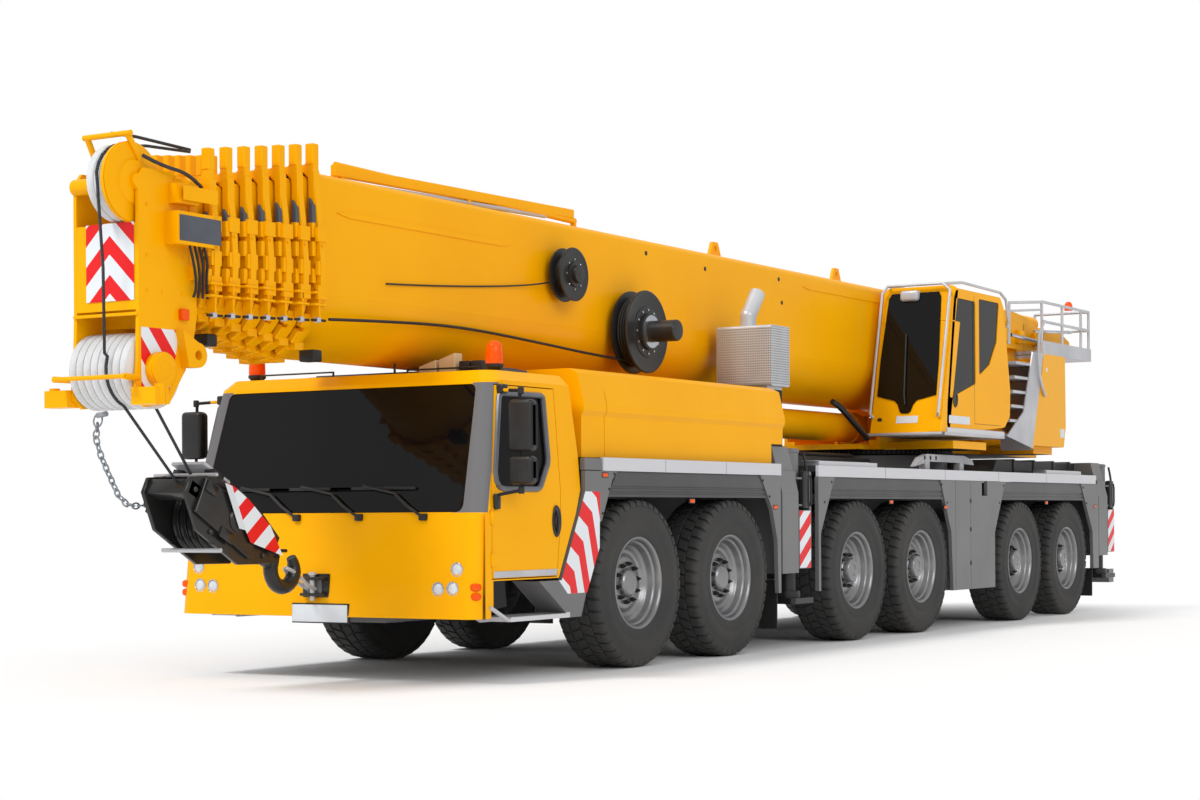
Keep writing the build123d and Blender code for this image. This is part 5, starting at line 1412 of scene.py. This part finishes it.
def build_hook_block():
    sheet = [(0.560, -0.060), (0.560, 0.060), (0.330, 0.190), (-0.180, 0.210), (-0.520, 0.110), (-0.520, -0.110),
             (-0.180, -0.280), (0.330, -0.250)]
    outer = [(0.430, -0.150), (0.430, 0.120), (-0.250, 0.150), (-0.250, -0.200)]
    pieces = []
    for sign in (1, -1):
        pieces.append(cut_plate(sheet, "y", sign * 0.180, sign * 0.215, 0.006))
        pieces.append(cut_plate(outer, "y", sign * 0.213, sign * 0.246, 0.006))
        pieces.append(block((0.30, sign * 0.246, 0.03), (0.42, sign * 0.262, 0.11), 0.008))
        pieces.append(block((-0.02, sign * 0.246, -0.20), (0.14, sign * 0.256, -0.12), 0.006))
        for x, z in ((0.48, 0.0), (0.20, -0.20), (-0.40, 0.04), (-0.40, -0.10), (-0.12, 0.12)):
            pieces.append(put(bolt(0.022, 0.018), (x, sign * 0.214, z), (-90 * sign, 0, 0)))
    for k in range(5):
        sheave = turned([(0.07, -0.026), (0.244, -0.026), (0.249, -0.022), (0.214, 0), (0.249, 0.022), (0.244, 0.026), (0.07, 0.026)], 40)
        pieces.append(put(sheave, (0, -0.136 + 0.068 * k, 0), (90, 0, 0)))
    pieces.append(put(turned([(0.080, -0.262), (0.092, -0.252), (0.092, 0.252), (0.080, 0.262)], 32), (0, 0, 0), (90, 0, 0)))
    pieces.append(put(turned([(0.070, -0.235), (0.070, 0.235)], 28), (-0.44, 0, 0), (90, 0, 0)))
    pieces.append(block((0.42, -0.215, -0.06), (0.54, 0.215, 0.06), 0.012))
    shank = turned([(0.058, -0.70), (0.062, -0.60), (0.076, -0.585), (0.076, -0.545), (0.070, -0.53), (0.070, -0.43)], 28)
    pieces.append(put(shank, (0, 0, 0), (0, 90, 0)))
    arc = [(-0.640, 0, 0.0), (-0.70, 0, 0.012)]
    sizes = [1.0, 1.05]
    for degrees in range(10, -262, -16):
        a = radians(degrees)
        arc.append((-0.88 + 0.138 * cos(a), 0, 0.02 + 0.138 * sin(a)))
        sizes.append(1.16 if degrees > -200 else 1.16 - 0.0085 * (-200 - degrees))
    pieces.append(pipe(arc, 0.050, False, 4, sizes))
    latch = pipe([(-0.735, 0, 0.055), (-0.80, 0, 0.135), (-0.86, 0, 0.165)], 0.014)
    pieces.append(latch)
    whole = on_hook(joined(pieces))
    finished(whole, "hook_block_parts", "boom_section_7", "block", 32)
    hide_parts("hook_block")
    board = [(7.764, 1.512), (7.60, 1.416), (7.359, 1.22), (7.219, 0.996), (7.585, 1.10), (7.845, 1.536)]
    plate = cut_plate(board, "y", 0.264, 0.269, 0.0015)
    finished(plate, "hook_block_stripes", "boom_section_7", slant_finish("hook_stripes", (0.62, 0, 0.79), 0.21, 0.02))
    strip = cut_plate([(7.865, 1.535), (7.790, 1.515), (7.640, 1.190), (7.715, 1.205)], "y", 0.2695, 0.2725, 0.001)
    finished(strip, "hook_block_blank_plate", "boom_section_7", "white")
    silver = [
        block((0.10, -0.16, 0.235), (0.42, 0.16, 0.262), 0.010),
        put(turned([(0.013, -0.30), (0.013, 0.30)], 16), (0.40, 0, 0.16), (90, 0, 0)),
        put(turned([(0.016, -0.28), (0.016, 0.28)], 16), (0.10, 0, -0.30), (90, 0, 0)),
    ]
    finished(on_hook(joined(silver)), "hook_block_silver", "boom_section_7", "silver")
    corners = [block((0.22, s * 0.15 - 0.05, 0.19), (0.34, s * 0.15 + 0.05, 0.245), 0.008) for s in (1, -1)]
    corners.append(block((-0.10, -0.20, 0.20), (0.06, 0.20, 0.232), 0.008))
    finished(on_hook(joined(corners)), "hook_block_boxes", "boom_section_7", "plastic")


def build_chain():
    """The short chain that hangs from the head: joined links, every other one turned."""
    route = [(8.47, -0.385, 1.985), (8.507, -0.37, 1.856), (8.47, -0.36, 1.735), (8.409, -0.355, 1.621), (8.311, -0.35, 1.456),
             (8.24, -0.345, 1.395), (8.159, -0.34, 1.372), (8.08, -0.33, 1.376), (8.003, -0.31, 1.396), (7.94, -0.28, 1.44),
             (7.91, -0.25, 1.485)]
    pitch = 0.052
    places = []
    travelled = 0.0
    for start, end in zip(route, route[1:]):
        start, end = Vector(start), Vector(end)
        length = (end - start).length
        while travelled < length:
            places.append((start.lerp(end, travelled / length), (end - start).normalized()))
            travelled += pitch
        travelled -= length
    links = []
    for k, (place, way) in enumerate(places):
        size = 0.032 if k == 0 else 0.021
        deselect()
        bpy.ops.mesh.primitive_torus_add(major_radius=size, minor_radius=0.0062, major_segments=18, minor_segments=8)
        link = bpy.context.object
        open_mesh(link)
        bpy.ops.transform.resize(value=(1.55, 1, 1))
        close_mesh()
        face = way.to_track_quat("X", "Z") @ Quaternion((1, 0, 0), (k % 2) * pi / 2)
        put(link, place, [degrees(v) for v in face.to_euler()])
        links.append(link)
    lug = pipe([(8.47, -0.30, 2.03), (8.47, -0.39, 2.02)], 0.02)
    links.append(lug)
    finished(joined(links), "hanging_chain", "boom_section_7", "galvanised", 60)


def build_boom_top():
    """The flat bar along the boom's top, the tube under it, and the raised ends of the collar prongs."""
    bar = cut_plate([(6.70, 3.895), (6.70, 3.985), (3.26, 4.035), (3.26, 3.955)], "y", 0.325, 0.375, 0.006)
    finished(bar, "boom_top_bar", "boom_base", "yellow")
    tube = pipe([(6.61, 0.35, 3.86), (3.71, 0.35, 3.93)], 0.022)
    finished(tube, "boom_top_tube", "boom_base", "silver")
    for k in range(7):
        front = COLLAR_X + COLLAR_PITCH * k
        w = 0.5 - SECTION_STEP * k
        spread = 0.100 - 0.004 * k
        top = 4.010 - 0.024 * k
        tips = []
        for sign in (1, -1):
            tips.append(block((front - 0.076, sign * (w - 0.044), top - 0.10), (front - 0.004, sign * (w + spread * 0.28 + 0.004), top + 0.058), 0.006, 1))
        finished(joined(tips), "prong_tips_%d" % k, collar_body(k), "yellow")
        line = pipe([(front - 0.085, w + 0.075, 2.748 - 0.004 * k), (front + 0.068, w + 0.071, 2.744 - 0.004 * k)], 0.010)
        finished(line, "collar_line_%d" % k, collar_body(k), "plastic")
        grip = block((front - 0.020, w + 0.050, 2.728 - 0.004 * k), (front + 0.020, w + 0.092, 2.768 - 0.004 * k), 0.006, 1)
        finished(grip, "collar_grip_%d" % k, collar_body(k), "silver")


build_reels()
build_hook_block()
build_chain()
build_boom_top()
build_boom_lines()
build_collar_details()
build_head()
build_hoist_rope()


# Stage and light
def build_stage():
    deselect()
    bpy.ops.mesh.primitive_grid_add(x_subdivisions=4, y_subdivisions=4, size=160, location=(0, 0, -0.002))
    floor = bpy.context.object
    floor.name = "floor"
    bpy.ops.object.transform_apply(location=True, rotation=True, scale=True)
    finish = Finish("pale_floor", (0.86, 0.86, 0.86, 1.0), 0.85)
    tree = finish.tree
    away = finish.node("ShaderNodeVectorMath")
    away.operation = "LENGTH"
    scaled = finish.node("ShaderNodeMapping")
    scaled.inputs["Scale"].default_value = (0.5, 1.0, 1.0)
    finish.join(finish.place, scaled.inputs["Vector"])
    finish.join(scaled.outputs["Vector"], away.inputs[0])
    edge = finish.node("ShaderNodeMapRange")
    edge.interpolation_type = "SMOOTHSTEP"
    edge.inputs["From Min"].default_value = 2.6
    edge.inputs["From Max"].default_value = 6.5
    finish.join(away.outputs["Value"], edge.inputs["Value"])
    rays = finish.node("ShaderNodeLightPath")
    seen = finish.any_of(rays.outputs["Is Camera Ray"], rays.outputs["Is Glossy Ray"], rays.outputs["Is Transmission Ray"])
    glow = finish.node("ShaderNodeEmission")
    mix = finish.node("ShaderNodeMixShader")
    finish.join(finish.math("MULTIPLY", edge.outputs["Result"], seen), mix.inputs["Fac"])
    finish.join(finish.shader.outputs["BSDF"], mix.inputs[1])
    finish.join(glow.outputs["Emission"], mix.inputs[2])
    finish.join(mix.outputs["Shader"], tree.nodes["Material Output"].inputs["Surface"])
    floor.data.materials.append(finish.done())


def build_light():
    world = bpy.data.worlds.new("studio")
    bpy.context.scene.world = world
    world.use_nodes = True
    tree = world.node_tree
    background = tree.nodes["Background"]
    background.inputs["Color"].default_value = (1, 1, 1, 1)
    rays = tree.nodes.new("ShaderNodeLightPath")
    seen = tree.nodes.new("ShaderNodeMath")
    seen.operation = "MAXIMUM"
    tree.links.new(rays.outputs["Is Camera Ray"], seen.inputs[0])
    tree.links.new(rays.outputs["Is Transmission Ray"], seen.inputs[1])
    level = tree.nodes.new("ShaderNodeMapRange")
    level.inputs["To Min"].default_value = 0.72
    level.inputs["To Max"].default_value = 1.0
    tree.links.new(seen.outputs["Value"], level.inputs["Value"])
    tree.links.new(level.outputs["Result"], background.inputs["Strength"])
    for name, turn, strength, spread in (("key", (38, 0, 68), 1.75, 14), ("side", (62, 0, 150), 0.72, 30)):
        data = bpy.data.lights.new(name, "SUN")
        data.energy = strength
        data.angle = radians(spread)
        lamp = bpy.data.objects.new(name, data)
        lamp.rotation_euler = tuple(radians(v) for v in turn)
        bpy.context.scene.collection.objects.link(lamp)
    bpy.context.scene.view_settings.view_transform = "Standard"


build_stage()
build_light()
